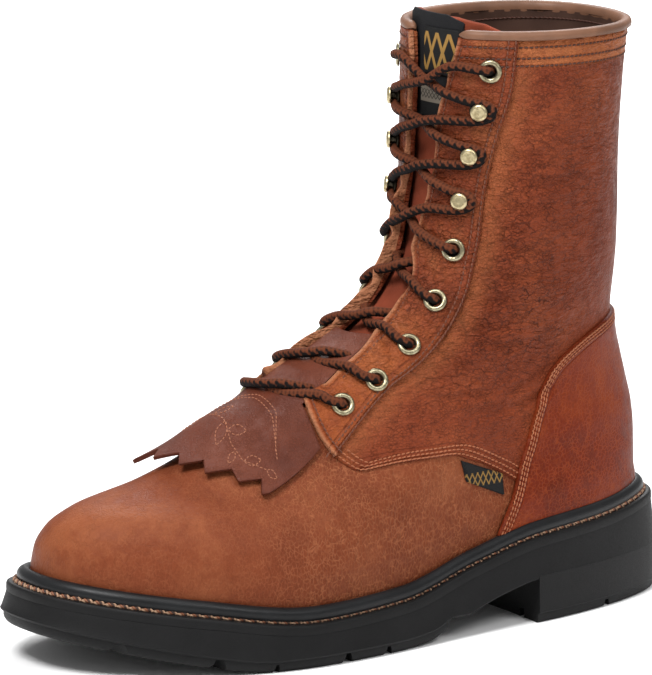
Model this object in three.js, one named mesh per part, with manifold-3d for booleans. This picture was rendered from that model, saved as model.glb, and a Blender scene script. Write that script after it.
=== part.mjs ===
// Left lace-up work boot, eight inches tall, with a kiltie over the vamp.
// Millimetres, +Z up, floor at z = 0, toe towards -Y, outer side of the foot at +X.
// A station s is the distance forward of the rearmost point of the sole.

import * as THREE from 'three';
import { mergeVertices } from 'three/addons/utils/BufferGeometryUtils.js';
import Module from 'manifold-3d';

const wasm = await Module();
wasm.setup();

// Driving sizes.
const soleLength = 306;
const heelCentre = 38;
const collarHeight = 245.6;
const collarRoll = 4.6;
const wall = 2.4;
const gap = 0.3;
const feather = 0.3;
const midsoleThickness = 4;
const lugDepth = 4.4;
const heelBreast = 87.5;
const fadeHeight = 135;
const ringCount = 40;
const overlayThickness = 1.4;
const quarterStep = 0.9;
const tongueThickness = 3;
const laceRadius = 1.9;
const eyeletRadius = 4.9;
const eyeletHole = 2.5;

// Sole plan: half widths at the ball, roundness of heel and toe, heel taper, waist dips, toe swing.
const solePlan = {
  back: 0, front: soleLength, lat: 57.4, med: 53.2, wide: 0.66, nBack: 3, nLat: 1.94, nMed: 2.52,
  taper: 0.26, waistLat: 4, waistMed: 9, swing: -11.35,
};

// Height of the sole's top edge, and of the tread, along the sole.
const rimTable = {
  s: [-20, 0, 40, 85, 120, 160, 205, 255, 306, 330],
  z: [42.8, 42.3, 38.6, 36.2, 29.2, 19.6, 17.8, 24.4, 32.6, 37],
};
const treadTable = {
  s: [80, 88, 106, 120, 130, 138, 146, 165, 225, 236, 247, 260, 281, 300, 312],
  z: [19.2, 18.8, 15.6, 11.6, 8, 4.6, 1.6, 0, 0, 0.9, 2.8, 5.3, 9.8, 14.2, 17.2],
};

// Level sections of the upper. h is the height above the feather edge, back and front are stations,
// lat and med are half widths, and the rest shape the plan curve as in the sole plan.
const levelColumns = [
  'h', 'back', 'front', 'lat', 'med', 'wide', 'nBack', 'nLat', 'nMed', 'taper', 'waistLat', 'waistMed', 'swing',
];
const levels = [
  [0, 7.4, 298.1, 51.0, 46.8, 0.66, 3.0, 1.95, 2.50, 0.26, 4.0, 9, -11],
  [8, 9.0, 297.0, 52.1, 48.1, 0.66, 3.0, 1.95, 2.50, 0.26, 4.0, 9, -11],
  [20, 10.6, 296.0, 52.2, 48.7, 0.64, 2.9, 1.95, 2.40, 0.26, 3.5, 8, -11],
  [32, 10.2, 292.0, 50.0, 47.4, 0.62, 2.8, 1.95, 2.30, 0.25, 3.0, 6, -10],
  [43, 9.8, 282.0, 47.0, 45.4, 0.59, 2.7, 1.90, 2.20, 0.24, 2.0, 4, -8],
  [56, 10.6, 254.2, 43.5, 42.5, 0.56, 2.6, 1.85, 2.10, 0.22, 1.0, 2, -6],
  [72, 13.2, 229.0, 39.0, 38.5, 0.53, 2.5, 1.85, 2.00, 0.18, 0, 1, -4],
  [88, 16.4, 211.5, 36.4, 36.4, 0.50, 2.4, 1.90, 1.95, 0.12, 0, 0, -3],
  [104, 19.8, 186.8, 35.3, 35.3, 0.48, 2.3, 2.00, 2.00, 0.06, 0, 0, -2],
  [125, 22.5, 150.0, 35.8, 35.8, 0.48, 2.2, 2.10, 2.10, 0.02, 0, 0, -1],
  [155, 22.9, 124.2, 38.8, 38.8, 0.48, 2.2, 2.10, 2.10, 0, 0, 0, 0],
  [195, 24.6, 116.8, 41.4, 41.4, 0.49, 2.2, 2.10, 2.10, 0, 0, 0, 0],
  [249, 20.8, 116.0, 43.2, 43.2, 0.50, 2.2, 2.10, 2.10, 0, 0, 0, 0],
];
const gridHeights = [
  0, 10, 21, 33, 44, 54, 64, 74, 84, 94, 104, 114, 125, 138, 158, 195, collarHeight,
];

// Throat edges of the two eyestays: z with the outer-side and inner-side x.
const throat = {
  z: [84, 92, 100, 110, 119, 132, 140, 147, 159, 173, 186, 199, 220, 232, 249, 262],
  lat: [15.2, 16.4, 16.6, 16.0, 14.6, 11.4, 9.4, 9.0, 5.2, 6.4, 7.8, 8.6, 11.6, 14.8, 18.8, 20],
  med: [-12, -12, -11, -9.4, -8.4, -8.0, -8.4, -9.2, -9.0, -10.6, -9.6, -9.2, -8.2, -8.4, -9.6, -10],
};

// Lacing rows from the vamp to the collar: height, distance from the centre line, and the fitting.
const lacing = [
  { z: 99.6, lat: 23.8, med: -21.6, kind: 'eyelet' },
  { z: 108.3, lat: 25.3, med: -21.8, kind: 'eyelet' },
  { z: 120.8, lat: 24.6, med: -21.2, kind: 'eyelet' },
  { z: 137.6, lat: 22.0, med: -20.8, kind: 'eyelet' },
  { z: 158.3, lat: 21.6, med: -21.4, kind: 'eyelet' },
  { z: 178.8, lat: 21.9, med: -21.8, kind: 'hook' },
  { z: 198.1, lat: 24.3, med: -22.4, kind: 'hook' },
  { z: 216.8, lat: 27.1, med: -23.0, kind: 'hook' },
  { z: 233.6, lat: 29.8, med: -25.2, kind: 'eyelet' },
];

// Monotone cubic through the points of a table.
function curve(xs, ys) {
  const n = xs.length;
  const step = xs.slice(1).map((x, i) => x - xs[i]);
  const slope = step.map((d, i) => (ys[i + 1] - ys[i]) / d);
  const edge = (h0, h1, d0, d1) => {
    const m = ((2 * h0 + h1) * d0 - h0 * d1) / (h0 + h1);
    if (m * d0 <= 0) return 0;
    return d0 * d1 <= 0 && Math.abs(m) > 3 * Math.abs(d0) ? 3 * d0 : m;
  };
  const tangent = xs.map((x, i) => {
    if (i === 0) return edge(step[0], step[1], slope[0], slope[1]);
    if (i === n - 1) return edge(step[n - 2], step[n - 3], slope[n - 2], slope[n - 3]);
    if (slope[i - 1] * slope[i] <= 0) return 0;
    const a = 2 * step[i] + step[i - 1];
    const b = step[i] + 2 * step[i - 1];
    return (a + b) / (a / slope[i - 1] + b / slope[i]);
  });
  return (x) => {
    const c = Math.min(Math.max(x, xs[0]), xs[n - 1]);
    let i = 0;
    while (i < n - 2 && c > xs[i + 1]) i += 1;
    const t = (c - xs[i]) / step[i];
    const u = 1 - t;
    return ys[i] * (1 + 2 * t) * u * u + tangent[i] * step[i] * t * u * u
      + ys[i + 1] * t * t * (3 - 2 * t) - tangent[i + 1] * step[i] * t * t * u;
  };
}

const rimZ = curve(rimTable.s, rimTable.z);
const treadZ = curve(treadTable.s, treadTable.z);
const throatLat = curve(throat.z, throat.lat);
const throatMed = curve(throat.z, throat.med);
const levelCurves = levelColumns.slice(1).map((name, k) => {
  return [name, curve(levels.map((row) => row[0]), levels.map((row) => row[k + 1]))];
});

function planAt(h) {
  return Object.fromEntries(levelCurves.map(([name, f]) => [name, f(h)]));
}

function grown(plan, by) {
  return { ...plan, back: plan.back - by, front: plan.front + by, lat: plan.lat + by, med: plan.med + by };
}

// One side of a plan curve, from the heel to the toe, as [x, s] points.
function planHalf(plan, side) {
  const half = side > 0 ? plan.lat : plan.med;
  const dip = side > 0 ? plan.waistLat : plan.waistMed;
  const toe = side > 0 ? plan.nLat : plan.nMed;
  const m = plan.wide;
  const steps = 70;
  const point = (c, w) => {
    const narrow = 1 - plan.taper * Math.min(Math.max((m - c) / m, 0), 1) ** 1.2;
    const swing = plan.swing * Math.max((c - 0.45) / 0.55, 0) ** 1.6;
    const waist = dip * w * Math.exp(-(((c - 0.42) / 0.16) ** 2));
    return [swing + side * (half * w * narrow - waist), plan.back + (plan.front - plan.back) * c];
  };
  const points = [];
  for (let i = 0; i <= steps; i += 1) {
    const a = (Math.PI / 2) * (i / steps);
    points.push(point(m * (1 - Math.cos(a) ** (2 / plan.nBack)), Math.sin(a) ** (2 / plan.nBack)));
  }
  for (let i = 1; i <= steps; i += 1) {
    const a = (Math.PI / 2) * (i / steps);
    const c = m + (1 - m) * Math.min(Math.sin(a), 1) ** (2 / toe);
    points.push(point(c, Math.max(Math.cos(a), 0) ** (2 / toe)));
  }
  return points;
}

function evenly(points, count) {
  const along = [0];
  for (let i = 1; i < points.length; i += 1) {
    const [a, b] = [points[i - 1], points[i]];
    along.push(along[i - 1] + Math.hypot(b[0] - a[0], b[1] - a[1]));
  }
  const result = [];
  let i = 1;
  for (let k = 0; k < count; k += 1) {
    const d = (along[along.length - 1] * k) / (count - 1);
    while (i < points.length - 1 && along[i] < d) i += 1;
    const t = (d - along[i - 1]) / (along[i] - along[i - 1]);
    result.push(points[i].map((v, j) => points[i - 1][j] + (v - points[i - 1][j]) * t));
  }
  return result;
}

// Closed ring of [x, s] points: toe tip, outer side, heel, inner side.
function planRing(plan, count = ringCount) {
  const outer = evenly(planHalf(plan, 1), count / 2 + 1).reverse();
  const inner = evenly(planHalf(plan, -1), count / 2 + 1);
  return [...outer, ...inner.slice(1, -1)];
}

function upperRing(h, count = ringCount) {
  const level = Math.min(Math.max(h, 0), levels[levels.length - 1][0]);
  const fade = Math.max(1 - level / fadeHeight, 0);
  return planRing(planAt(level), count).map(([x, s]) => {
    return new THREE.Vector3(x, heelCentre - s, h + (rimZ(s) + feather) * fade);
  });
}

function toSolid(geometry) {
  const clean = geometry.clone();
  clean.deleteAttribute('normal');
  clean.deleteAttribute('uv');
  const merged = mergeVertices(clean, 1e-4);
  const all = Array.from(merged.index.array);
  const kept = [];
  for (let i = 0; i < all.length; i += 3) {
    const [a, b, c] = all.slice(i, i + 3);
    if (a !== b && b !== c && c !== a) kept.push(a, b, c);
  }
  return new wasm.Manifold(new wasm.Mesh({
    numProp: 3,
    vertProperties: new Float32Array(merged.attributes.position.array),
    triVerts: new Uint32Array(kept),
  }));
}

function toGeometry(solid) {
  const mesh = solid.getMesh();
  const geometry = new THREE.BufferGeometry();
  geometry.setAttribute('position', new THREE.BufferAttribute(new Float32Array(mesh.vertProperties), 3));
  geometry.setIndex(new THREE.BufferAttribute(new Uint32Array(mesh.triVerts), 1));
  const flat = geometry.toNonIndexed();
  flat.computeVertexNormals();
  return flat;
}

function fromTriangles(points, triangles) {
  const geometry = new THREE.BufferGeometry();
  geometry.setAttribute('position', new THREE.Float32BufferAttribute(points.flatMap((p) => [p.x, p.y, p.z]), 3));
  geometry.setIndex(triangles);
  return geometry;
}

// Closed solid through rings that run from the bottom to the top. Each end is closed by a strip
// between its two sides, so that it keeps the height that the ring has at each station.
function ringStack(rings) {
  const n = rings[0].length;
  const points = rings.flat();
  const triangles = [];
  for (let k = 0; k < rings.length - 1; k += 1) {
    for (let i = 0; i < n; i += 1) {
      const [a, b] = [k * n + i, k * n + ((i + 1) % n)];
      triangles.push(a, b, b + n, a, b + n, a + n);
    }
  }
  const last = (rings.length - 1) * n;
  for (let i = 0; i < n / 2; i += 1) {
    const [a, b] = [i, i + 1];
    const [c, d] = [(n - i) % n, n - i - 1];
    if (b !== d) triangles.push(a, d, b, last + a, last + b, last + d);
    if (a !== c) triangles.push(a, c, d, last + a, last + d, last + c);
  }
  return fromTriangles(points, triangles);
}

function soleStack(layers, count = ringCount) {
  return toSolid(ringStack(layers.map(({ grow, z }) => {
    return planRing(grown(solePlan, grow), count).map(([x, s]) => new THREE.Vector3(x, heelCentre - s, z(s)));
  })));
}

// The upper's outer surface moved outward by an offset, as a closed form.
function form(offset, low = -6, high = 14) {
  const heights = [...gridHeights];
  if (low < 0) heights.unshift(low);
  if (high > 0) heights.push(collarHeight + high);
  const rings = heights.map((h) => upperRing(h));
  const n = ringCount;
  const inside = (k) => rings[Math.min(Math.max(k, 0), rings.length - 1)];
  const moved = rings.map((ring, k) => ring.map((point, i) => {
    const across = ring[(i + 1) % n].clone().sub(ring[(i + n - 1) % n]);
    const up = inside(k + 1)[i].clone().sub(inside(k - 1)[i]);
    const normal = across.cross(up).normalize();
    const by = typeof offset === 'function' ? offset(point) : offset;
    const result = point.clone().addScaledVector(normal, by);
    if (heights[k] <= 0 || heights[k] >= collarHeight) result.z = point.z;
    return result;
  }));
  return toSolid(ringStack(moved));
}

// Right prism of a flat outline. The view names the plane that the outline is drawn in.
const views = {
  side: new THREE.Matrix4().makeBasis(
    new THREE.Vector3(0, 1, 0), new THREE.Vector3(0, 0, 1), new THREE.Vector3(1, 0, 0),
  ),
  front: new THREE.Matrix4().makeBasis(
    new THREE.Vector3(1, 0, 0), new THREE.Vector3(0, 0, 1), new THREE.Vector3(0, -1, 0),
  ),
  plan: new THREE.Matrix4(),
};

function prism(view, outline, from, to) {
  const shape = new THREE.Shape(outline.map(([a, b]) => new THREE.Vector2(a, b)));
  const geometry = new THREE.ExtrudeGeometry(shape, { depth: to - from, bevelEnabled: false });
  geometry.translate(0, 0, from);
  geometry.applyMatrix4(views[view]);
  return toSolid(geometry);
}

function sidePrism(outline, from, to) {
  return prism('side', outline.map(([s, z]) => [heelCentre - s, z]), from, to);
}

function shell(inner, outer) {
  return form(outer).subtract(form(inner, -7, 15));
}

function box(x0, x1, s0, s1, z0, z1) {
  return sidePrism([[s0, z0], [s1, z0], [s1, z1], [s0, z1]], x0, x1);
}

const group = new THREE.Group();
const looks = {
  rubber: { color: 0x1b1b1c, roughness: 0.75, metalness: 0 },
  welt: { color: 0x17181a, roughness: 0.55, metalness: 0 },
  insole: { color: 0x3a2c22, roughness: 0.9, metalness: 0 },
  leather: { color: 0x8a4526, roughness: 0.6, metalness: 0 },
  overlay: { color: 0x94502c, roughness: 0.6, metalness: 0 },
  kiltie: { color: 0x74382a, roughness: 0.55, metalness: 0 },
  binding: { color: 0x5c4a40, roughness: 0.7, metalness: 0 },
  suede: { color: 0x93431f, roughness: 0.95, metalness: 0 },
  label: { color: 0x17171a, roughness: 0.9, metalness: 0 },
  brass: { color: 0xb59a64, roughness: 0.35, metalness: 1 },
  lace: { color: 0x3b2418, roughness: 0.9, metalness: 0 },
};

function add(name, shape, look) {
  const geometry = shape.isBufferGeometry ? shape : toGeometry(shape);
  const mesh = new THREE.Mesh(geometry, new THREE.MeshStandardMaterial(looks[look]));
  mesh.name = name;
  group.add(mesh);
  return mesh;
}

// Outsole: a flared side wall, a waist without lugs, and a tread and heel set in from the wall.
const sideBottom = (s) => treadZ(s) + lugDepth * Math.min(Math.max((s - 126) / 10, 0), 1);
const wallTop = (s) => rimZ(s) - midsoleThickness - gap;
const soleWall = soleStack([
  { grow: 2.6, z: sideBottom },
  { grow: 1.4, z: (s) => (sideBottom(s) + wallTop(s)) / 2 },
  { grow: 0, z: wallTop },
]);
const treadBlock = soleStack([
  { grow: 0.2, z: treadZ },
  { grow: 1.3, z: (s) => treadZ(s) + 1.3 },
  { grow: 1.3, z: (s) => treadZ(s) + lugDepth + 1 },
]).intersect(box(-90, 90, 138, 330, -10, 60));
const heelBlock = soleStack([
  { grow: 1, z: () => 0 },
  { grow: 2, z: () => 1.2 },
  { grow: 2, z: () => 4 },
  { grow: 3.2, z: () => 4.3 },
  { grow: 2.6, z: () => 20.5 },
]);
const breastLine = [[-80, -20], [80, -20], [80, heelBreast], [46, heelBreast], [24, 85.4], [0, 84.6],
  [-24, 85.4], [-46, heelBreast], [-80, heelBreast]];
const breastCut = prism('plan', breastLine.map(([x, s]) => [x, heelCentre - s]).reverse(), -10, 60);

// Grooves: one follows the outline of the tread, and bars cross it to part the lugs.
const rimGroove = (wide, deep) => soleStack([
  { grow: -12 - wide, z: (s) => treadZ(s) - 5 },
  { grow: -12 - wide, z: (s) => treadZ(s) + deep },
]);
const treadGroove = rimGroove(0, 3.4).subtract(rimGroove(3.6, 6)).intersect(box(-90, 90, 146, 330, -10, 60));
const heelGroove = soleStack([{ grow: -11, z: () => -5 }, { grow: -11, z: () => 3.6 }])
  .subtract(soleStack([{ grow: -15, z: () => -6 }, { grow: -15, z: () => 5 }]))
  .intersect(box(-90, 90, -20, 100, -10, 60));

function lugBar(s, x0, x1, skew, mouth, top) {
  const z = treadZ(s) + top;
  const bar = sidePrism([
    [s - mouth / 2, z - top - 4], [s + mouth / 2, z - top - 4], [s + mouth / 2, z - top],
    [s + mouth / 5, z], [s - mouth / 5, z], [s - mouth / 2, z - top],
  ], -(x1 - x0) / 2, (x1 - x0) / 2);
  return bar.translate([0, s - heelCentre, 0]).rotate([0, 0, skew])
    .translate([(x0 + x1) / 2, heelCentre - s, 0]);
}
const lugBars = [
  [284, 3, 62, 10, 6, 4.2], [250, 28, 62, 6, 6.5, 4.2], [226, 34, 64, 0, 3, 3.4],
  [192, 34, 64, -4, 5, 4.2], [170, 34, 62, -8, 4, 3.6], [284, -62, -24, -10, 6, 4.2],
  [250, -64, -40, -6, 6.5, 4.2], [226, -64, -40, 0, 3, 3.4], [196, -62, -34, 4, 5, 4.2],
  [170, -60, -32, 8, 4, 3.6], [268, -30, 20, 8, 5, 3.4], [240, -34, 32, -8, 5, 3.4],
  [212, -36, 36, 8, 5, 3.4], [184, -34, 34, -8, 5, 3.4], [160, -30, 30, 8, 5, 3.4],
];
let outsole = soleWall.add(treadBlock).add(heelBlock.intersect(breastCut));
for (const bar of lugBars) outsole = outsole.subtract(lugBar(...bar));
outsole = outsole.subtract(treadGroove).subtract(heelGroove);
for (const [s, x0, x1] of [[45, 22, 62], [45, -62, -20], [20, -20, 20], [62, -26, 26]]) {
  const notch = [[s - 2, -2], [s + 2, -2], [s + 2, 0], [s + 1, 3], [s - 1, 3], [s - 2, 0]];
  outsole = outsole.subtract(sidePrism(notch, x0, x1));
}
add('outsole', outsole, 'rubber');

add('midsole', soleStack([
  { grow: 0.2, z: (s) => rimZ(s) - midsoleThickness },
  { grow: 0, z: (s) => rimZ(s) - 1 },
  { grow: -1, z: rimZ },
]), 'rubber');

// Welt: a flat strip on the sole's edge with a round bead that stands against the upper.
const welt = [
  { lift: 0.3, on: 'sole', by: -0.9 },
  { lift: 1.0, on: 'sole', by: -1.0 },
  { lift: 1.2, on: 'sole', by: -2.6 },
  { lift: 2.6, on: 'upper', by: 3.2 },
  { lift: 4.9, on: 'upper', by: 3.3 },
  { lift: 6.7, on: 'upper', by: 2.2 },
  { lift: 6.9, on: 'upper', by: 0.9 },
  { lift: 5.6, on: 'upper', by: 0.35 },
  { lift: 0.3, on: 'upper', by: 0.35 },
];
const weltRings = welt.map(({ lift, on, by }) => {
  const plan = on === 'sole' ? grown(solePlan, by) : grown(planAt(lift), by);
  return planRing(plan).map(([x, s]) => new THREE.Vector3(x, heelCentre - s, rimZ(s) + lift));
});
const weltTriangles = [];
for (let k = 0; k < welt.length; k += 1) {
  for (let i = 0; i < ringCount; i += 1) {
    const next = ((k + 1) % welt.length) * ringCount;
    const [a, b] = [k * ringCount + i, k * ringCount + ((i + 1) % ringCount)];
    const [c, d] = [next + i, next + ((i + 1) % ringCount)];
    weltTriangles.push(a, b, d, a, d, c);
  }
}
add('welt', fromTriangles(weltRings.flat(), weltTriangles), 'welt');

// Insole: inside the upper, on the midsole.
const insolePlan = grown(planAt(0), -wall - quarterStep - 1.7);
add('insole', ringStack([0.3, 3.9].map((lift) => {
  return planRing(insolePlan).map(([x, s]) => new THREE.Vector3(x, heelCentre - s, rimZ(s) + lift));
})), 'insole');

// Side outlines of the overlays, as [s, z].
const counterEdge = [[106, 40], [101, 50], [97, 57.3], [93.8, 65.2], [88.7, 76.2], [83.3, 87.7], [77.3, 99.1],
  [70, 107], [60, 113], [45, 119], [30, 122.6], [14, 124]];
const quarterEdge = [[175, 74.3], [166, 74.7], [156.5, 75.6], [141, 76], [127, 75.6], [113, 70.2],
  [104, 65.7], [94, 60.5]];
const eyestayBack = [[182.2, 80], [174, 87.4], [163.4, 97], [152, 106], [139.5, 113.4], [123, 127],
  [114.6, 139.1], [108.3, 158.7], [104.8, 183.6], [101, 206.8], [97.2, 222.9], [95, 245.2]];
const eyestayFront = [[184.8, 84.8], [186.5, 89.7], [187.5, 95.3], [187.2, 101], [186, 105.5]];
const aboveWelt = (s) => rimZ(s) + 8;

// Vamp region: in front of the counter and below the quarter seam, where the wall is one step lower.
const vampOutline = [
  [107.5, 0], [107.5, 40], [101.4, 50.4], [97.6, 57.6], ...quarterEdge.slice().reverse(), [179, 77.2],
  [182, 80.6], [183, 88], [183, 130], [330, 130], [330, 0],
];
const outer = form(-quarterStep, 0, 0).add(form(0, 0, 0).subtract(sidePrism(vampOutline, -90, 90)));
const throatHeights = [93, 100, 110, 119, 131, 147, 159, 172, 186, 204, 226, 252];

function throatPrism(inset, low, from, to) {
  const heights = throatHeights.filter((z) => z >= low);
  const right = heights.map((z) => [throatLat(z) - inset, z]);
  const left = heights.map((z) => [throatMed(z) + inset, z]).reverse();
  return prism('front', [...right, ...left], from, to);
}

function surfacePoint(x, z, side) {
  const rings = surfacePoint.rings;
  let best = null;
  for (const ring of rings) {
    for (const { point, normal } of ring) {
      const d = Math.hypot(point.x - x, (point.z - z));
      if (Math.sign(-point.y + side) > 0 && (!best || d < best.d)) best = { d, point, normal };
    }
  }
  return best;
}
const fine = 400;
surfacePoint.rings = [];
for (let h = 70; h <= 250; h += 0.5) {
  const rings = [upperRing(h - 1, fine), upperRing(h, fine), upperRing(h + 1, fine)];
  surfacePoint.rings.push(rings[1].map((point, i) => {
    const across = rings[1][(i + 1) % fine].clone().sub(rings[1][(i + fine - 1) % fine]);
    const up = rings[2][i].clone().sub(rings[0][i]);
    return { point, normal: across.cross(up).normalize() };
  }).filter(({ point }) => Math.abs(point.x) < 36 && point.y < -40));
}

function aimed(geometry, { point, normal }, lift) {
  const turn = new THREE.Quaternion().setFromUnitVectors(new THREE.Vector3(0, 0, 1), normal);
  const placed = geometry.clone().applyQuaternion(turn);
  const at = point.clone().addScaledVector(normal, lift);
  return placed.translate(at.x, at.y, at.z);
}

// Fittings: where each eyelet or hook sits on the eyestays.
const fittings = lacing.flatMap((row, i) => ['lat', 'med'].map((side) => {
  return { ...row, side, index: i + 1, spot: surfacePoint(row[side], row.z, 0) };
}));
const eyestayTop = gap + overlayThickness;
const holes = fittings.filter(({ kind }) => kind === 'eyelet').map(({ spot }) => {
  const drill = new THREE.CylinderGeometry(eyeletHole + 0.8, eyeletHole + 0.8, 12, 8).rotateX(Math.PI / 2);
  return toSolid(aimed(drill, spot, -1.5));
});

let upper = outer.subtract(form(-wall - quarterStep)).subtract(throatPrism(0, 93, 60, 400));
for (const hole of holes) upper = upper.subtract(hole);
add('upper', upper, 'leather');

// Heel counter.
const counterOutline = [
  ...counterEdge.filter(([, z]) => z > 48), [-20, 124],
  ...[-20, 0, 20, 40, 60, 80, 95, 103].map((s) => [s, aboveWelt(s)]),
];
const overlayShell = shell(gap, eyestayTop);
add('heel_counter', overlayShell.intersect(sidePrism(counterOutline, -90, 90)), 'overlay');

// Eyestays: from the throat edge back to their seam.
function eyestayOutline(by) {
  return [
    ...eyestayBack.slice(0, -1).map(([st, z]) => [st - by, z - by]), [95 - by, collarHeight - 0.1],
    [200, collarHeight - 0.1], [200, 112], ...eyestayFront.slice().reverse().map(([st, z]) => [st + by, z - by]),
  ];
}
const eyestayBoth = overlayShell.intersect(sidePrism(eyestayOutline(0), -90, 90));
const throatGap = (inset) => throatPrism(inset, 93, 60, 400).add(prism('front', [
  [throatMed(93) + inset, 60], [throatLat(93) - inset, 60], [throatLat(93) - inset, 94], [throatMed(93) + inset, 94],
], 60, 400));
const noThroat = eyestayBoth.subtract(throatGap(0));
for (const [side, from, to] of [['lateral', 0, 90], ['medial', -90, 0]]) {
  let piece = noThroat.intersect(box(from, to, 60, 320, 0, 300));
  for (const hole of holes) piece = piece.subtract(hole);
  add(`eyestay_${side}`, piece, 'overlay');
}

// Collar roll and the tab at the back of it.
const rollSection = [[1.5, 0.3], [1.5, 3.4], [0.3, collarRoll], [-2, collarRoll], [-3.2, 3.4], [-3.2, 0.3]];
const collarRing = upperRing(collarHeight, 132).map((point, i, ring) => {
  const across = ring[(i + 1) % 132].clone().sub(ring[(i + 131) % 132]).normalize();
  return { point, out: across.cross(new THREE.Vector3(0, 0, 1)).normalize() };
});
const rollPath = collarRing.filter(({ point }, i) => {
  const open = point.y < -40 && point.x < throatLat(collarHeight) + 0.5 && point.x > throatMed(collarHeight) - 0.5;
  return !open && i % 4 === 0;
});
const rollPoints = rollPath.flatMap(({ point, out }) => rollSection.map(([o, lift]) => {
  return point.clone().addScaledVector(out, o).add(new THREE.Vector3(0, 0, lift));
}));
const rollTriangles = [];
const rollSides = rollSection.length;
for (let k = 0; k < rollPath.length - 1; k += 1) {
  for (let i = 0; i < rollSides; i += 1) {
    const [a, b] = [k * rollSides + i, k * rollSides + ((i + 1) % rollSides)];
    rollTriangles.push(a, b + rollSides, b, a, a + rollSides, b + rollSides);
  }
}
for (let i = 1; i < rollSides - 1; i += 1) {
  const last = (rollPath.length - 1) * rollSides;
  rollTriangles.push(0, i, i + 1, last, last + i + 1, last + i);
}
add('collar_binding', fromTriangles(rollPoints, rollTriangles), 'binding');

add('back_tab', shell(gap, gap + 1.5).intersect(
  prism('front', [[-7, 229.5], [7, 229.5], [7, collarHeight - 0.2], [-7, collarHeight - 0.2]], -60, 10),
), 'overlay');

// Tongue, with its woven label and a small patch.
const tongueOuter = -wall - quarterStep - gap;
const tongueOutline = [
  [-24, 84], [22, 84], [27, 110], [27, 150], [28, 200], [31, 240], [31, 253], [26, 256.5], [-22, 257], [-28, 253],
  [-28, 240], [-27, 200], [-26, 150], [-27, 110],
];
add('tongue', shell(tongueOuter - tongueThickness, tongueOuter).intersect(
  prism('front', tongueOutline, 40, 400),
), 'suede');
const labelShell = shell(tongueOuter + gap, tongueOuter + gap + 0.8);
add('tongue_label', labelShell.intersect(
  prism('front', [[-4, 229.5], [13.6, 229.5], [17.6, 249], [-4, 249]], 60, 400),
), 'label');
add('tongue_patch', labelShell.intersect(
  prism('front', [[-6, 211.5], [9.4, 211.5], [10.6, 224.5], [-6, 224.5]], 60, 400),
), 'label');

// Kiltie: lies on the vamp, passes between the eyestays, and lifts off towards its toothed end.
function kiltieLift(point) {
  const s = heelCentre - point.y;
  const rise = Math.min(Math.max((s - 199) / 25, 0), 1);
  const inward = Math.min(Math.max((20 - point.x) / 34, 0), 1);
  return 4.6 * rise * rise * (3 - 2 * rise) * (0.15 + 0.85 * inward);
}
const kiltieOutline = [
  [-6.8, 150], [13.0, 150], [14.6, 166], [15.6, 176], [16.0, 188.2], [21, 188.4],
  [26.6, 187], [27.1, 191.7], [27.7, 198.2], [28.1, 206], [28.2, 214], [27.4, 217], [23.2, 214],
  [19.8, 223.1], [14.9, 223], [10.5, 233.1], [6, 230.3], [1.1, 238.8], [-3.2, 234.7], [-10.5, 242],
  [-13.5, 236], [-22, 243.5], [-26.5, 238], [-27, 224], [-26, 210], [-24.5, 200], [-23.5, 190],
  [-10.0, 189], [-8.8, 186], [-7.4, 172],
];
const kiltieShell = form((p) => gap + 1.5 + kiltieLift(p)).subtract(form((p) => gap + kiltieLift(p), -7, 15));
const underEyestays = form(12).subtract(form(-4, -7, 15))
  .intersect(sidePrism(eyestayOutline(0.5), -90, 90)).subtract(throatGap(0.5));
add('kiltie', kiltieShell.intersect(
  prism('plan', kiltieOutline.map(([x, s]) => [x, heelCentre - s]).reverse(), 62, 140),
).subtract(underEyestays), 'kiltie');

// Side tag below the quarter seam.
add('side_tag', shell(gap - quarterStep, gap).intersect(
  sidePrism([[124.9, 72.2], [102.6, 64.0], [102.1, 56.0], [122.3, 64.3]], 0, 90),
), 'label');

// Eyelets and hooks. Each is lifted until its flat foot just clears the curved eyestay.
const eyeletProfile = [
  [eyeletHole, -2.4], [eyeletHole + 0.5, -2.4], [eyeletHole + 0.5, 0], [eyeletRadius, 0],
  [eyeletRadius - 0.6, 0.8], [eyeletHole, 0.9], [eyeletHole, -2.4],
];
const hookProfile = [[0, 0], [4.6, 0], [4.6, 0.8], [1.4, 0.8], [1.4, 3.4], [3.6, 3.4], [3.0, 4.8], [0, 5.5]];
const footProfile = [[0, 0], [eyeletRadius, 0], [eyeletRadius, 0.8], [0, 0.8]];

function turned(profile, spot, lift) {
  const geometry = new THREE.LatheGeometry(profile.map(([r, z]) => new THREE.Vector2(r, z)), 8);
  return toSolid(aimed(geometry.rotateX(Math.PI / 2), spot, lift));
}
const underFittings = form(eyestayTop + 0.2);
function seat(spot) {
  let lift = eyestayTop + 0.2;
  while (lift < 4 && turned(footProfile, spot, lift).intersect(underFittings).volume() > 1e-4) lift += 0.05;
  return lift;
}
for (const { kind, side, index, spot } of fittings) {
  add(`${kind}_${side}_${index}`, turned(kind === 'eyelet' ? eyeletProfile : hookProfile, spot, seat(spot)), 'brass');
}

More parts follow.
